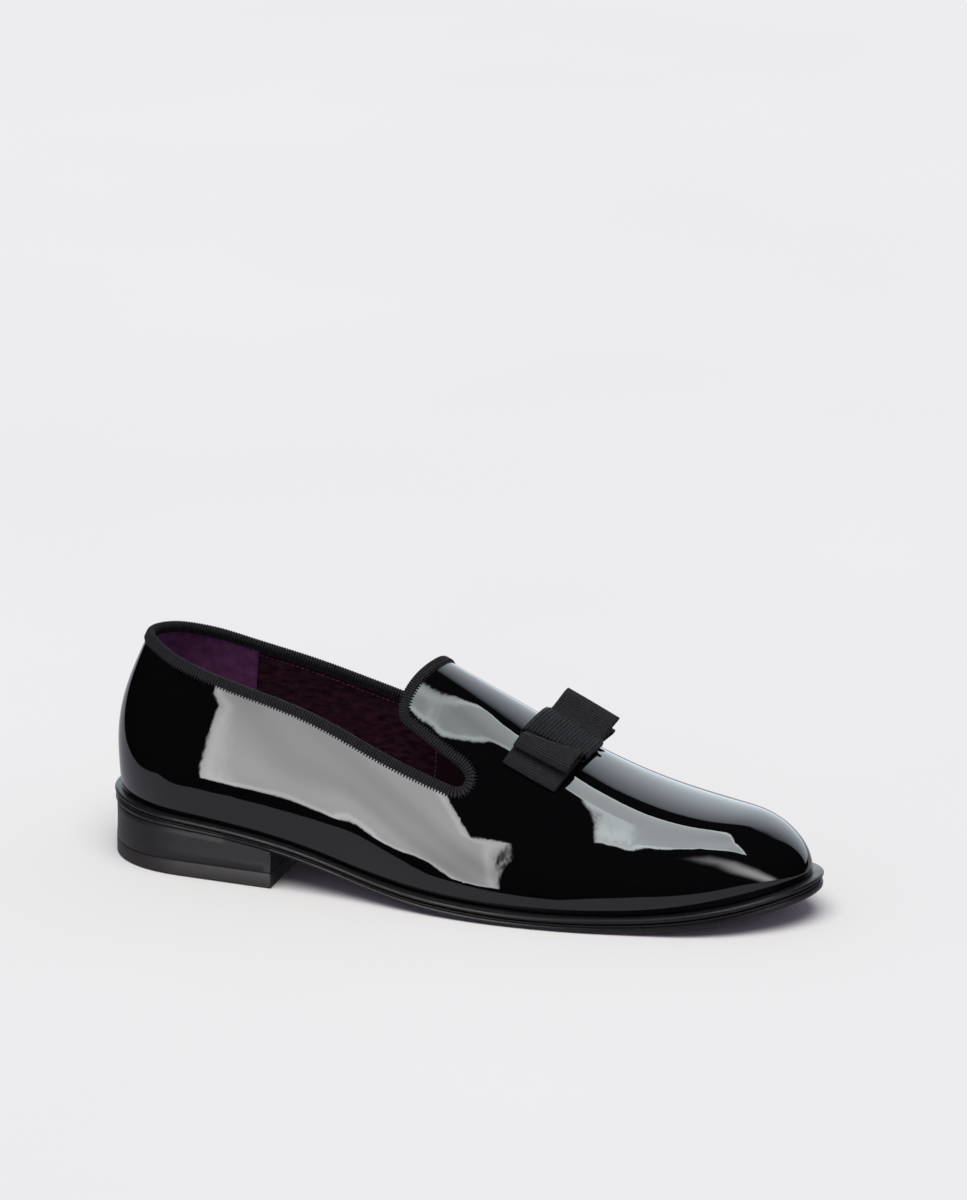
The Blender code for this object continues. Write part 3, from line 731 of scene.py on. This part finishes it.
binding_rows.append(binding_rows[0])
# 0 in a groove, 1 on a rib: the finish paints shade into the grooves from these.
binding_groove_shade = np.tile(0.5 + 0.5 * rib_wave, len(binding_rows))
binding_grid = quads(np.array(binding_rows), closed=True)
binding = piece("binding", *binding_grid, ribbon_black, "collar_binding", ribs=binding_groove_shade)
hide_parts("collar_binding")

# %% [markdown]
# ## Stitches
#
# Black thread whips the ribbon's outer edge to the leather. Inside, a lighter thread runs a little
# below the ribbon, under a thin turned edge of lining, and the same thread closes the upright
# seams of the lining. Each stitch is a short rounded bar, made once as a template and then laid
# along its row, so a row is one mesh.

# %% Threads and a stitch
black_thread = finish("black_thread", (0.012, 0.012, 0.013), 0.6, Specular_IOR_Level=0.25)
bump(black_thread, 5200.0, 2.0, 0.00005)
lining_thread = finish("lining_thread", (0.150, 0.058, 0.095), 0.75, Sheen_Weight=0.3)
bump(lining_thread, 5200.0, 2.0, 0.00005)
STITCH_ROUND = 6
STITCH_BLUNT = 0.96      # how far a stitch closes at its ends
turns = np.linspace(0, 2 * np.pi, STITCH_ROUND + 1)[:-1]
ends = np.linspace(-1, 1, 5)
stitch_half = 0.5 * np.sqrt(1 - STITCH_BLUNT * ends**4)
stitch_bar = np.array([
    (0.5 * end, half * math.cos(turn), half * math.sin(turn))
    for end, half in zip(ends, stitch_half) for turn in turns
]).reshape(len(ends), STITCH_ROUND, 3)


def stitches(name, row, outs, pitch, size, look, slot):
    """Bars of a size (along, across, out) laid every pitch along a row of spots, facing their outs."""
    run = length_along(row)
    count = int(run[-1] / pitch)
    bars = []
    for i in np.searchsorted(run, (np.arange(count) + 0.5) * pitch):
        ahead = unit(row[min(i + 2, len(row) - 1)] - row[max(i - 2, 0)])
        aside = np.cross(outs[i], ahead)
        axes = np.stack([size[0] * ahead, size[1] * aside, size[2] * np.cross(ahead, aside)])
        bars.append(row[i] + stitch_bar @ axes)
    points, faces = quads(*bars, closed=True)
    for first in range(0, len(points), STITCH_ROUND * len(ends)):
        last = first + (len(ends) - 1) * STITCH_ROUND
        faces.append(tuple(range(first, first + STITCH_ROUND)))
        faces.append(tuple(range(last, last + STITCH_ROUND)))
    piece(name, points, faces, look, slot)


# %% Stitches of the binding
WHIP_PAST = 0.0003       # of the whip stitches past the ribbon's edge
WHIP_OFF = 0.4 * BINDING_THICK
WHIP_PITCH = 0.00135
WHIP_SIZE = (0.00060, 0.00130, 0.00060)
SEWN_PAST = 0.0022       # of the inside stitches past the ribbon's edge
SEWN_OFF = -WALL - 0.00008
SEWN_PITCH = 0.00225
SEWN_SIZE = (0.0016, 0.00034, 0.00034)
whip_row = off_edge(BINDING_LEG + WHIP_PAST, WHIP_OFF)
stitches("binding_whip_stitches", whip_row, bind_out, WHIP_PITCH, WHIP_SIZE,
         black_thread, "collar_binding")
sewn_row = off_edge(BINDING_LEG + SEWN_PAST, SEWN_OFF)
stitches("binding_inside_stitches", sewn_row, bind_out, SEWN_PITCH, SEWN_SIZE,
         lining_thread, "collar_binding")

# %% Turned edge of the lining
edge_plum = finish("plum_edge", (0.075, 0.018, 0.048), 0.6, Specular_IOR_Level=0.3)
bump(edge_plum, 1500.0, 3.0, 0.00005)
TURNED_EDGE = (          # past the ribbon's edge, and off the lining
    (-0.0002, 0.00000), (0.0000, -0.00035), (0.0004, -0.00045), (0.0007, -0.00030), (0.0009, 0.00005),
)
turned_rows = [off_edge(BINDING_LEG + depth, -WALL + off) for depth, off in TURNED_EDGE]
piece("lining_turned_edge", *quads(np.array(turned_rows), closed=True), edge_plum, "insole")

# %% Upright seams of the lining
SEAM_PLACE = 0.1242      # along the last, before its swing
SEAM_SPARE = 0.03        # left free at both ends of the seam, as a t
SEAM_CLEAR = 0.0001
SEAM_PITCH = 0.0020
SEAM_SIZE = (0.0015, 0.00045, 0.00045)
SEAM_STEPS = 60
seam_u = along(SEAM_PLACE)
up_outer = np.linspace(SEAM_SPARE, cut_top(SEAM_PLACE) - SEAM_SPARE, SEAM_STEPS)
for name, seam_t in (("outer_lining_seam", up_outer), ("inner_lining_seam", 1 - up_outer)):
    seam_out = slopes(seam_u, seam_t)[2]
    seam_row = surface(seam_u, seam_t) - (WALL + SEAM_CLEAR) * seam_out
    stitches(name, seam_row, seam_out, SEAM_PITCH, SEAM_SIZE, lining_thread, "insole")

# %% [markdown]
# ## Sock
#
# The sock is the soft sheet the foot stands on. It lies on the insole from wall to wall and rises
# a little at its edge. It is a slab: a grid on top, the same grid below, and a wall round them.

# %% Sock and insole
INSOLE_RISE = 0.0012     # of the sock over the sole's top
WELT_THICK = 0.0022
SOCK_IN = 0.0026         # from the shoe's outside to the sock's edge
SOCK_EDGE_RISE = 0.0005
SOCK_ROWS = 90
SOCK_COLUMNS = 17
sock_suede = finish("sock_suede", (0.14, 0.046, 0.105), 0.92, Specular_IOR_Level=0.2,
                    Sheen_Weight=0.4, Sheen_Roughness=0.4, Sheen_Tint=(0.5, 0.25, 0.35, 1.0))
mottle(sock_suede, 260.0, 5.0, (0.28, (0.095, 0.030, 0.070)), (0.75, (0.190, 0.064, 0.142)))
bump(sock_suede, 2200.0, 4.0, 0.00016)


def shifted(line, step):
    """A line along the shoe, moved up by a step."""
    return lambda x: line(x) + step


welt_top = shifted(sole_top, -GAP)
welt_under = shifted(welt_top, -WELT_THICK)
outsole_top = shifted(welt_under, -GAP)
sock_sides = outline(False, -SOCK_IN, np.linspace(0, 1, SOCK_ROWS))
over = np.linspace(0, 1, SOCK_COLUMNS)[:, None]
plan = sock_sides[0][:, None] * (1 - over) + sock_sides[1][:, None] * over
edge_near = np.abs(2 * over[:, 0] - 1)**4
top_z = sole_top(plan[..., 0]) + INSOLE_RISE + SOCK_EDGE_RISE * edge_near
sock_top = np.concatenate([plan, top_z[..., None]], axis=-1)
sock_low = np.concatenate([plan, (outsole_top(plan[..., 0]) + GAP)[..., None]], axis=-1)
sock_walls = [np.stack([sock_top[:, column], sock_low[:, column]]) for column in (0, -1)]
sock = piece("sock", *quads(sock_top, sock_low, *sock_walls), sock_suede, "insole", sharp=True)
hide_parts("insole")

# %% [markdown]
# ## Sole and heel
#
# The sole is leather, blacked and waxed at its edge, with a welt on top and a low heel under the
# back. All of them share one plan outline, so each is a stack of rings of that outline, and a
# short table gives each ring its offset and height. The rings make the ridges and the groove that
# a shoemaker's edge iron leaves.

# %% Finishes of the sole and the heel
edge_black = finish("waxed_edge", (0.007, 0.007, 0.008), 0.36, Specular_IOR_Level=0.30)
mottle(edge_black, 90.0, 4.0, (0.3, even(0.30)), (0.7, even(0.46)),
       stretch=(1.0, 1.0, 5.0), socket="Roughness")
bump(edge_black, 700.0, 3.0, 0.00005, (0.25, 0.25, 1.0))

heel_black = finish("waxed_heel", (0.013, 0.013, 0.014), 0.45, Specular_IOR_Level=0.30)
mottle(heel_black, 60.0, 4.0, (0.3, (0.008, 0.008, 0.009)), (0.75, (0.013, 0.0125, 0.0135)),
       stretch=(0.5, 0.5, 6.0))
bump(heel_black, 500.0, 3.0, 0.00005, (0.2, 0.2, 1.0))

lift_rubber = finish("lift_rubber", (0.008, 0.007, 0.007), 0.52)
mottle(lift_rubber, 1200.0, 3.0, (0.35, (0.006, 0.005, 0.005)), (0.75, (0.012, 0.009, 0.008)))
bump(lift_rubber, 900.0, 3.0, 0.00005)

tread_leather = finish("plum_tread", (0.075, 0.020, 0.060), 0.5)
mottle(tread_leather, 140.0, 4.0, (0.3, (0.055, 0.014, 0.044)), (0.75, (0.098, 0.028, 0.078)))
bump(tread_leather, 800.0, 3.0, 0.00006)


# %% Rings of the sole's outline
SIDE_STEPS = np.linspace(0, 1, 150)


def ring_at(reach, offset, height, steps=SIDE_STEPS):
    """The outline at a height: outer side forward, inner side back."""
    sides = outline(reach, offset, steps)
    ring = np.concatenate([sides[0], sides[1][::-1]])
    return np.column_stack([ring, height(ring[:, 0])])


def stack(name, rings, look, slot):
    """Closed body from rings of one outline, its two end rings capped by a ladder of quads."""
    count = len(rings[0])
    points, faces = quads(np.array(rings), closed=True)
    for first in (0, (len(rings) - 1) * count):
        for i in range(count // 2 - 1):
            j = count - 1 - i
            faces.append((first + i, first + i + 1, first + j - 1, first + j))
    return piece(name, points, faces, look, slot, sharp=True)


def between(low, high, share):
    return lambda x: low(x) + share * (high(x) - low(x))


def edge_rings(edge, low, high, steps=SIDE_STEPS):
    """Rings between two lines along the shoe, one for each (share of the height, offset) of an edge."""
    return [ring_at(True, offset, between(low, high, share), steps) for share, offset in edge]


# %% Outsole
TREAD_DOWN = -0.8        # faces that look down at least so far are tread
OUTSOLE_EDGE = (
    (0.00, -0.0014), (0.05, -0.0009), (0.14, -0.0004), (0.32, -0.0002), (0.52, -0.0002),
    (0.64, -0.0004), (0.71, -0.0010), (0.78, -0.0010), (0.84, -0.0005), (0.93, -0.0005), (1.00, -0.0010),
)
outsole = stack("sole", edge_rings(OUTSOLE_EDGE, sole_under, outsole_top), edge_black, "outsole")
outsole.data.materials.append(tread_leather)
for face in outsole.data.polygons:
    if face.normal.z < TREAD_DOWN:
        face.material_index = 1
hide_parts("outsole")

# %% Welt
WELT_EDGE = ((0.00, -0.0009), (0.12, -0.0003), (0.35, 0.0), (0.62, 0.0), (0.84, -0.0003), (1.00, -0.0010))
WELT_IN = -0.0022        # inner edge of the strip
welt_low = ring_at(False, WELT_IN, welt_under)
welt_high = ring_at(False, WELT_IN, welt_top)
welt_grid = np.array([welt_low, *edge_rings(WELT_EDGE, welt_under, welt_top), welt_high, welt_low])
welt = piece("welt_strip", *quads(welt_grid, closed=True), edge_black, "welt", sharp=True)
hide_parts("welt")

# %% Heel
BREAST_X = 0.0780        # front face of the heel
LIFT_HEIGHT = 0.0062
HEEL_STEPS = np.linspace(0, along(BREAST_X), 60)
HEEL_EDGE = (
    (0.00, -0.0006), (0.03, -0.0004), (0.30, -0.0007), (0.50, -0.0008), (0.80, -0.0008), (0.97, -0.0008),
    (1.00, -0.0011),
)
LIFT_EDGE = ((0.00, -0.0008), (0.06, -0.0004), (0.90, -0.0004), (1.00, -0.0007))


def floor_line(x):
    return 0 * x


lift_top = shifted(floor_line, LIFT_HEIGHT)
heel_low = shifted(lift_top, GAP)
heel_high = shifted(sole_under, -GAP)
heel_rings = edge_rings(HEEL_EDGE, heel_low, heel_high, HEEL_STEPS)
heel = stack("heel_block", heel_rings, heel_black, "heel_stack")
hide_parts("heel_stack")
lift_rings = edge_rings(LIFT_EDGE, floor_line, lift_top, HEEL_STEPS)
lift = stack("heel_top_piece", lift_rings, lift_rubber, "heel_lift")
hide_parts("heel_lift")

# %% [markdown]
# ## Bow
#
# The bow is two flattened loops of ribbed ribbon, one on the other, held by a band that wraps
# over their middle from front to back. Cloth could be simulated, but a stiff ribbon keeps the
# form it was pressed in, so each loop is a ring in a small frame on the vamp's ridge, lying on
# the leather on the outer side and standing clear of it on the inner side. The ribs are real
# waves in the mesh, spaced evenly along the ribbon, and shade is painted into their grooves.

# %% The bow's frame on the vamp
RIBBON = 0.0005
RIBBON_GAP = 0.00025     # between plies that lie on each other
RIBBON_WIDTH = 0.0245
PLY = RIBBON + RIBBON_GAP
BOW_X = 0.1915
BOW_TURN = -0.07         # how far the bow is turned on the ridge, in radians
BAND_MEDIAL = 0.0070     # how far the band reaches to the inner and the outer side
BAND_LATERAL = 0.0135
BAND_SLANT = 0.0025
KNOT_SPARE = 0.0015      # how far past the band the loops stay flat
BOW = sizes(
    "lateral medial lateral_half medial_half stiff raise twist open blunt",
    (0.0295, 0.0275, 0.0011, 0.0014, 0.85, 0.0000, 0.00, 0.0100, 8),
    (0.0258, 0.0225, 0.0024, 0.0012, 0.85, 0.0058, 0.06, 0.0045, 6),
)
MEDIAL_OPEN = 0.0100     # over what length the inner loops open, and how blunt they end
MEDIAL_BLUNT = 8
FIT_A, FIT_C = 0.016, 0.036      # reach of the fitted patch of vamp, ahead and aside
PATCH_X = (0.160, 0.222)         # where that patch is sampled, along the shoe and across it
PATCH_T = (0.14, 0.86)

bow_middle = surface(along(BOW_X), 0.5)
bow_run, _, bow_up = slopes(along(BOW_X), 0.5)
bow_run = unit(bow_run)
bow_side = np.cross(bow_up, bow_run)
bow_ahead = np.cos(BOW_TURN) * bow_run + np.sin(BOW_TURN) * bow_side
bow_aside = np.cross(bow_up, bow_ahead)
patch_u, patch_t = np.meshgrid(along(np.linspace(*PATCH_X, 40)), np.linspace(*PATCH_T, 60))
patch = surface(patch_u, patch_t).reshape(-1, 3) - bow_middle
patch_a, patch_c, patch_h = patch @ bow_ahead, patch @ bow_aside, patch @ bow_up
near = (np.abs(patch_a) < FIT_A) & (np.abs(patch_c) < FIT_C)
POWERS = [(i, j) for i in range(4) for j in range(9)]


def terms(a, c):
    return np.stack([(a / FIT_A)**i * (c / FIT_C)**j for i, j in POWERS], axis=-1)


vamp_fit = np.linalg.lstsq(terms(patch_a[near], patch_c[near]), patch_h[near], rcond=None)[0]
print(f"vamp under the bow fitted from {near.sum()} points")

# %% How loops and band lie on the vamp
LEAVE, LEAVE_OVER = 0.6, 0.016   # where the inner loops leave the vamp, and over what length


def band_edge(a):
    """How far the band reaches to the outer side; it is cut a little aslant."""
    return BAND_LATERAL - BAND_SLANT * a / (0.5 * RIBBON_WIDTH)


def loose(a, c, row):
    """0 under the band, 1 out on the loops."""
    past = np.where(c < 0, -c - band_edge(a), c - BAND_MEDIAL) - KNOT_SPARE
    return smooth(past / np.where(c < 0, row["open"], MEDIAL_OPEN))


def bed(a, c, stiff):
    """What a loop lies on: the vamp, the inner side carried out straighter."""
    return terms(a, c) @ vamp_fit * (1 - stiff * smooth((c - LEAVE * BAND_MEDIAL) / LEAVE_OVER))


def half_thick(a, c, row):
    """Half a loop's thickness: flat under the band, its own out on the loop."""
    half = np.where(c < 0, row["lateral_half"], row["medial_half"])
    return 0.5 * PLY + (half - 0.5 * PLY) * loose(a, c, row)


def lower_loop(a, c):
    """Middle and half thickness of the lower loops."""
    row = BOW[0]
    half = half_thick(a, c, row)
    rest = 0.5 * PLY + GAP + PLY * (1 - loose(a, c, row))
    return bed(a, c, row["stiff"]) + rest + half, half


def upper_loop(a, c):
    """Middle and half thickness of the upper loops, resting on the lower ones."""
    row = BOW[1]
    below, below_half = lower_loop(a, c)
    half = half_thick(a, c, row)
    lift = row["raise"] * smooth((c - BAND_MEDIAL) / row["medial"])
    twist = row["twist"] * (a + 0.5 * RIBBON_WIDTH) * np.where(c < 0, loose(a, c, row), 0)
    return below + below_half + PLY + half + lift + twist, half


def on_bow(a, c, h):
    return bow_middle + a[..., None] * bow_ahead + c[..., None] * bow_aside + h[..., None] * bow_up


# %% Ribs along a ring of ribbon
LOOP_RIB = (0.00108, 0.00013)     # pitch and swell of the ribs
BAND_RIB = (0.00145, 0.00020)
RING_STEPS = 4000
FOLD_CALM = 0.06                  # how near a fold the ribs flatten


def ribbed_ring(name, ring, widths, rib):
    """A closed ring of ribbon; ring(widths, turn) gives its points, the ribs follow its length."""
    dense = np.linspace(0, 2 * np.pi, RING_STEPS + 1)
    middle = ring(np.zeros(1), dense)[0]
    run = length_along(middle)
    pitch, swell = rib
    ribs = int(round(run[-1] / pitch))
    count = ribs * RIB_SAMPLES
    turn = np.interp(np.arange(count) * run[-1] / count, run, dense)
    spots = ring(widths, turn)
    around = np.roll(spots, -1, axis=1) - np.roll(spots, 1, axis=1)
    across = np.gradient(spots, axis=0)
    out = unit(np.cross(around, across))
    calm = smooth((1 - np.abs(np.cos(turn))) / FOLD_CALM)
    wave = np.cos(2 * np.pi * np.arange(count) / RIB_SAMPLES) * calm
    ribbed = quads(spots + swell * wave[None, :, None] * out, closed=True)
    # 0 in a groove, 1 on a rib: the finish paints shade into the grooves from these.
    ribbon_groove_shade = np.tile(0.5 + 0.5 * wave, len(widths))
    made = thicken(piece(name, *ribbed, ribbon_black, "bow", ribs=ribbon_groove_shade), RIBBON, 0)
    print(f"{name}: ribbon {np.ptp(widths):.4f} x {run[-1]:.4f} m, {ribs} ribs")
    return made


# %% Rings of the loops and the band
BAND_SPARE = 0.0016      # how far the band reaches past the loops at its folds
BAND_BLUNT = 20          # how squarely its folds close
BAND_MIDDLE = 3 * PLY    # the band wraps four plies of loop
BAND_HALF = 2.5 * PLY


def loop_ring(row, body):
    """Ring of a loop; body(a, c) gives its middle and half thickness."""
    def ring(widths, turn):
        reach = np.where(np.cos(turn) < 0, row["lateral"], row["medial"])
        c, a = np.meshgrid(np.cos(turn) * reach, widths)
        middle, half = body(a, c)
        blunt = np.where(np.cos(turn) < 0, row["blunt"], MEDIAL_BLUNT)
        shut = np.sqrt(1 - np.abs(np.cos(turn))**blunt)
        return on_bow(a, c, middle + half * shut * np.sign(np.sin(turn)).round())
    return ring


def band_ring(widths, turn):
    reach = 0.5 * RIBBON_WIDTH + BAND_SPARE
    a, c = np.meshgrid(np.cos(turn) * reach, widths)
    c = np.where(c < 0, c * band_edge(a) / BAND_LATERAL, c)
    shut = np.sqrt(1 - np.cos(turn)**BAND_BLUNT)
    middle = bed(a, c, BOW[0]["stiff"]) + GAP + BAND_MIDDLE
    return on_bow(a, c, middle + BAND_HALF * shut * np.sign(np.sin(turn)).round())


# %% Loops and band of the bow
ribbon_across = np.linspace(-0.5, 0.5, 21) * RIBBON_WIDTH
band_across = np.linspace(-BAND_LATERAL, BAND_MEDIAL, 19)
bow_low = ribbed_ring("bow_lower_loops", loop_ring(BOW[0], lower_loop), ribbon_across, LOOP_RIB)
bow_high = ribbed_ring("bow_upper_loops", loop_ring(BOW[1], upper_loop), ribbon_across, LOOP_RIB)
bow_tie = ribbed_ring("bow_middle_band", band_ring, band_across, BAND_RIB)
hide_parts("bow_lower")
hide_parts("bow_upper")
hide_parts("bow_band")

# %% [markdown]
# ## Floor
#
# The shoe stands on a plain pale floor. Patent leather is a black mirror, and mirrored in full such
# a floor would wash out its flanks. So the leather sees a smaller, greyer table top instead, and
# its flanks stay black above that. Cycles can hide an object from one kind of ray, which does it.

# %% Floor
FLOOR_SIZE = 12.0
FLOOR_Z = -0.0002        # a hair under the heel, so that no two faces coincide
TABLE_Z = -0.0001
floor_look = finish("pale_floor", (0.80, 0.80, 0.80), 0.75, Specular_IOR_Level=0.0)
mottle(floor_look, 3.0, 2.0, (0.3, even(0.79)), (0.7, even(0.81)))


def stage_piece(name, points, faces, look):
    """A piece of the studio, which is no part of the shoe."""
    mesh = bpy.data.meshes.new(name)
    mesh.from_pydata([tuple(point) for point in points], [], faces)
    mesh.materials.append(look)
    made = put(name, mesh)
    return made


def flat(name, plan, z, look):
    """A flat piece of the studio from its corners in plan."""
    return stage_piece(name, [(x, y, z) for x, y in plan], [tuple(range(len(plan)))], look)


wide = 0.5 * FLOOR_SIZE
floor = flat("floor", ((-wide, -wide), (wide, -wide), (wide, wide), (-wide, wide)), FLOOR_Z, floor_look)
floor.visible_glossy = False
TABLE_EDGE = (
    (-0.20, -0.098), (-0.08, -0.094), (-0.02, -0.068), (0.05, -0.064), (0.09, -0.084), (0.19, -0.084),
    (0.60, 1.50), (-1.40, 1.50), (-0.46, 0.16),
)
table_look = finish("table_in_reflections", (0.52, 0.50, 0.56), 0.75, Specular_IOR_Level=0.1)
mottle(table_look, 3.0, 2.0, (0.3, (0.50, 0.48, 0.54)), (0.7, (0.54, 0.52, 0.58)))
table = flat("table_top", TABLE_EDGE, TABLE_Z, table_look)


def only_mirrored(made):
    """Hide a stage piece from all but mirrors."""
    made.visible_camera = False
    made.visible_diffuse = False
    made.visible_shadow = False


only_mirrored(table)
print(f"floor {FLOOR_SIZE} m wide, mirrored table with {len(TABLE_EDGE)} corners")

# %% [markdown]
# ## Cards
#
# The light shapes on patent leather are mirrored cards: one beside the camera for the flank, one
# overhead for tongue and toe, a narrow one bent round the toe, and a broad one behind for the ridge.
# A photographer cuts such cards with scissors and softens them with cloth. Area lamps could only
# be plain rectangles or ellipses, so each card here is a glowing mesh with a free outline and a
# soft edge, and its brightness is kept on its points.

# %% Soft cards that the leather mirrors
CARD_STEPS = 220
RIM_IN, RIM_WIDE = 2.6, 1.4      # place and width of the bright rim, in widths of the soft edge
CLOUDS = (                       # size of a wave of brightness, its turns across and up, and its start
    (1.0, 5.1, 3.3, 0.7), (0.7, -6.2, 9.7, 0.0), (0.4, 17.0, 13.0, 0.0),
)


def depth_inside(a, b, corners):
    """How far points lie inside a closed outline, 0 outside it."""
    gap = np.full(a.shape, np.inf)
    within = np.zeros(a.shape, bool)
    for (a0, b0), (a1, b1) in zip(corners, corners[1:] + corners[:1]):
        share = ((a - a0) * (a1 - a0) + (b - b0) * (b1 - b0)) / ((a1 - a0)**2 + (b1 - b0)**2)
        share = np.clip(share, 0, 1)
        gap = np.minimum(gap, np.hypot(a - a0 - share * (a1 - a0), b - b0 - share * (b1 - b0)))
        if b0 != b1:
            within ^= ((b0 > b) != (b1 > b)) & (a < a0 + (a1 - a0) * (b - b0) / (b1 - b0))
    return np.where(within, gap, 0.0)


def soft_card(name, stand, corners, glow, soft, tint, rim=0.0, cloud=0.0):
    """A glowing card, seen only in reflections, with a soft edge.

    corners are its outline in its own two directions and stand(a, b) puts them in the studio.
    glow(a, b) is its brightness, soft the width its edge fades over, rim how much brighter a line
    inside that edge is, and cloud how uneven the card is.
    """
    low, high = np.min(corners, axis=0), np.max(corners, axis=0)
    share = np.linspace(0, 1, CARD_STEPS)
    h, v = np.meshgrid(share, share, indexing="ij")
    a, b = low[0] + h * (high[0] - low[0]), low[1] + v * (high[1] - low[1])
    depth = depth_inside(a, b, corners)
    line = 1 + rim * np.exp(-((depth / soft - RIM_IN) / RIM_WIDE)**2)
    drift = sum(size * np.sin(across * h + up * v + start) for size, across, up, start in CLOUDS)
    bright = glow(a, b) * smooth(depth / soft) * line * (1 + cloud * drift)
    points, faces = quads(np.stack(stand(a, b), axis=-1))
    lit = depth.ravel() > 0
    faces = [face for face in faces if lit[list(face)].any()]
    look = bpy.data.materials.new(name)
    look.use_nodes = True
    look.cycles.emission_sampling = "NONE"
    nodes, links = look.node_tree.nodes, look.node_tree.links
    nodes.remove(nodes["Principled BSDF"])
    light = nodes.new("ShaderNodeEmission")
    light.inputs["Color"].default_value = (*tint, 1.0)
    level_read = nodes.new("ShaderNodeAttribute")
    level_read.attribute_name = "glow"
    links.new(level_read.outputs["Fac"], light.inputs["Strength"])
    links.new(light.outputs["Emission"], nodes["Material Output"].inputs["Surface"])
    card = stage_piece(name, points, faces, look)
    card.data.attributes.new("glow", "FLOAT", "POINT").data.foreach_set("value", bright.ravel())
    only_mirrored(card)
    print(f"{name}: {len(faces)} faces")


# %% Ways to stand a card
def upright(y):
    return lambda a, b: (a, y + 0 * a, b)


def level(z):
    return lambda a, b: (a, b, z + 0 * a)


TOE = (0.11, -0.02, 0.04)        # middle of the bent card
BENT_RADIUS = 0.8


def round_toe(a, b):
    """A card bent round the toe, its two directions in degrees round and up."""
    turn, rise = np.radians(a), np.radians(b)
    out = np.cos(turn) * np.cos(rise), np.sin(turn) * np.cos(rise), np.sin(rise)
    return tuple(middle + BENT_RADIUS * step for middle, step in zip(TOE, out))


# %% Cards for the flank, the tongue, the toe and the ridge
WHITE = (1.0, 1.0, 1.0)
COOL = (0.92, 1.0, 1.02)
SKY = (0.86, 0.95, 1.04)
FLANK_CARD = (
    (-0.310, -0.110), (-0.290, -0.115), (-0.250, -0.105), (-0.225, -0.090), (-0.205, -0.100),
    (-0.190, -0.185), (-0.135, -0.185), (-0.095, -0.165), (-0.020, 0.260), (-0.065, 0.195),
    (-0.065, 0.420), (-0.310, 0.420), (-0.295, 0.145), (-0.280, 0.110), (-0.290, 0.020),
)
OVERHEAD_CARD = (
    (0.010, -0.155), (0.034, -0.114), (0.054, -0.078), (0.068, -0.046), (0.084, -0.026),
    (0.090, -0.030), (0.090, -0.050), (0.086, -0.116), (0.080, -0.190), (0.092, -0.166),
    (0.100, -0.130), (0.110, -0.100), (0.128, -0.083), (0.156, -0.090), (0.286, -0.124),
    (0.170, -0.034), (0.116, 0.047), (0.104, 0.056), (0.080, 0.053), (0.070, 0.063),
    (0.062, 0.060), (0.050, 0.028), (0.036, -0.030), (0.014, -0.120),
)
STREAK_CARD = (
    (-84, 58), (-76, 52), (-64, 43), (-45, 13), (-28, -18), (-14, -26), (-12, -14), (-27, 21), (-43, 45),
    (-64, 64), (-76, 64),
)
RIDGE_CARD = ((-1.9, -0.1), (1.9, -0.1), (1.9, 2.7), (0.9, 2.7), (0.3, 2.3), (-1.9, 2.2))


def overhead_glow(a, b):
    """Dimmer over the tongue than over the toe."""
    return np.interp(a, (0.030, 0.080, 0.095), (4.3, 5.4, 6.9))


def ridge_glow(a, b):
    """Fades upward, and to the right past the toe."""
    return np.interp(b, (1.0, 2.0, 2.6), (2.3, 1.5, 0.4)) * np.interp(a, (0.5, 1.8), (1.0, 0.45))


def flank_glow(a, b):
    return 6.2 + 0 * a


def streak_glow(a, b):
    """Brighter toward the right."""
    return np.interp(a, (-80, -35), (1.2, 5.6))


FLANK_Y = -0.40
OVERHEAD_Z = 0.25
RIDGE_Y = 1.50
soft_card("flank_card", upright(FLANK_Y), FLANK_CARD, flank_glow,
          soft=0.005, tint=WHITE, rim=0.30, cloud=0.12)
soft_card("overhead_card", level(OVERHEAD_Z), OVERHEAD_CARD, overhead_glow,
          soft=0.0015, tint=COOL, rim=0.55, cloud=0.10)
soft_card("streak_card", round_toe, STREAK_CARD, streak_glow, soft=9.0, tint=WHITE)
soft_card("ridge_card", upright(RIDGE_Y), RIDGE_CARD, ridge_glow, soft=0.09, tint=SKY)

# %% [markdown]
# ## Lamp and studio
#
# Floor, cloth and suede need ordinary light: a wide, slightly warm sun from over the camera, which
# gives the soft shadow, and a cool even light from all round, which tints it. Both are hidden from
# mirrors, so that the leather shows the cards alone.

# %% Lamp and the studio's own light
LAMP_WAY = Vector((-0.04, 0.34, -1.0))
scene = bpy.context.scene
scene.view_settings.view_transform = "Standard"
studio = bpy.data.worlds.new("studio")
scene.world = studio
studio.use_nodes = True
studio_light = studio.node_tree.nodes["Background"]
studio_light.inputs["Color"].default_value = (0.89, 0.90, 1.12, 1.0)
studio_light.inputs["Strength"].default_value = 0.30
studio.cycles_visibility.glossy = False

lamp = bpy.data.lights.new("broad_lamp", "SUN")
lamp.energy = 2.62
lamp.color = (1.0, 0.988, 0.930)
lamp.angle = math.radians(50.0)
lamp_stand = put("broad_lamp", lamp)
lamp_stand.rotation_mode = "QUATERNION"
lamp_stand.rotation_quaternion = LAMP_WAY.to_track_quat("-Z", "Y")
lamp_stand.visible_glossy = False
print(f"lamp {lamp.energy:.2f} W/m2, studio {studio_light.inputs['Strength'].default_value:.2f}")
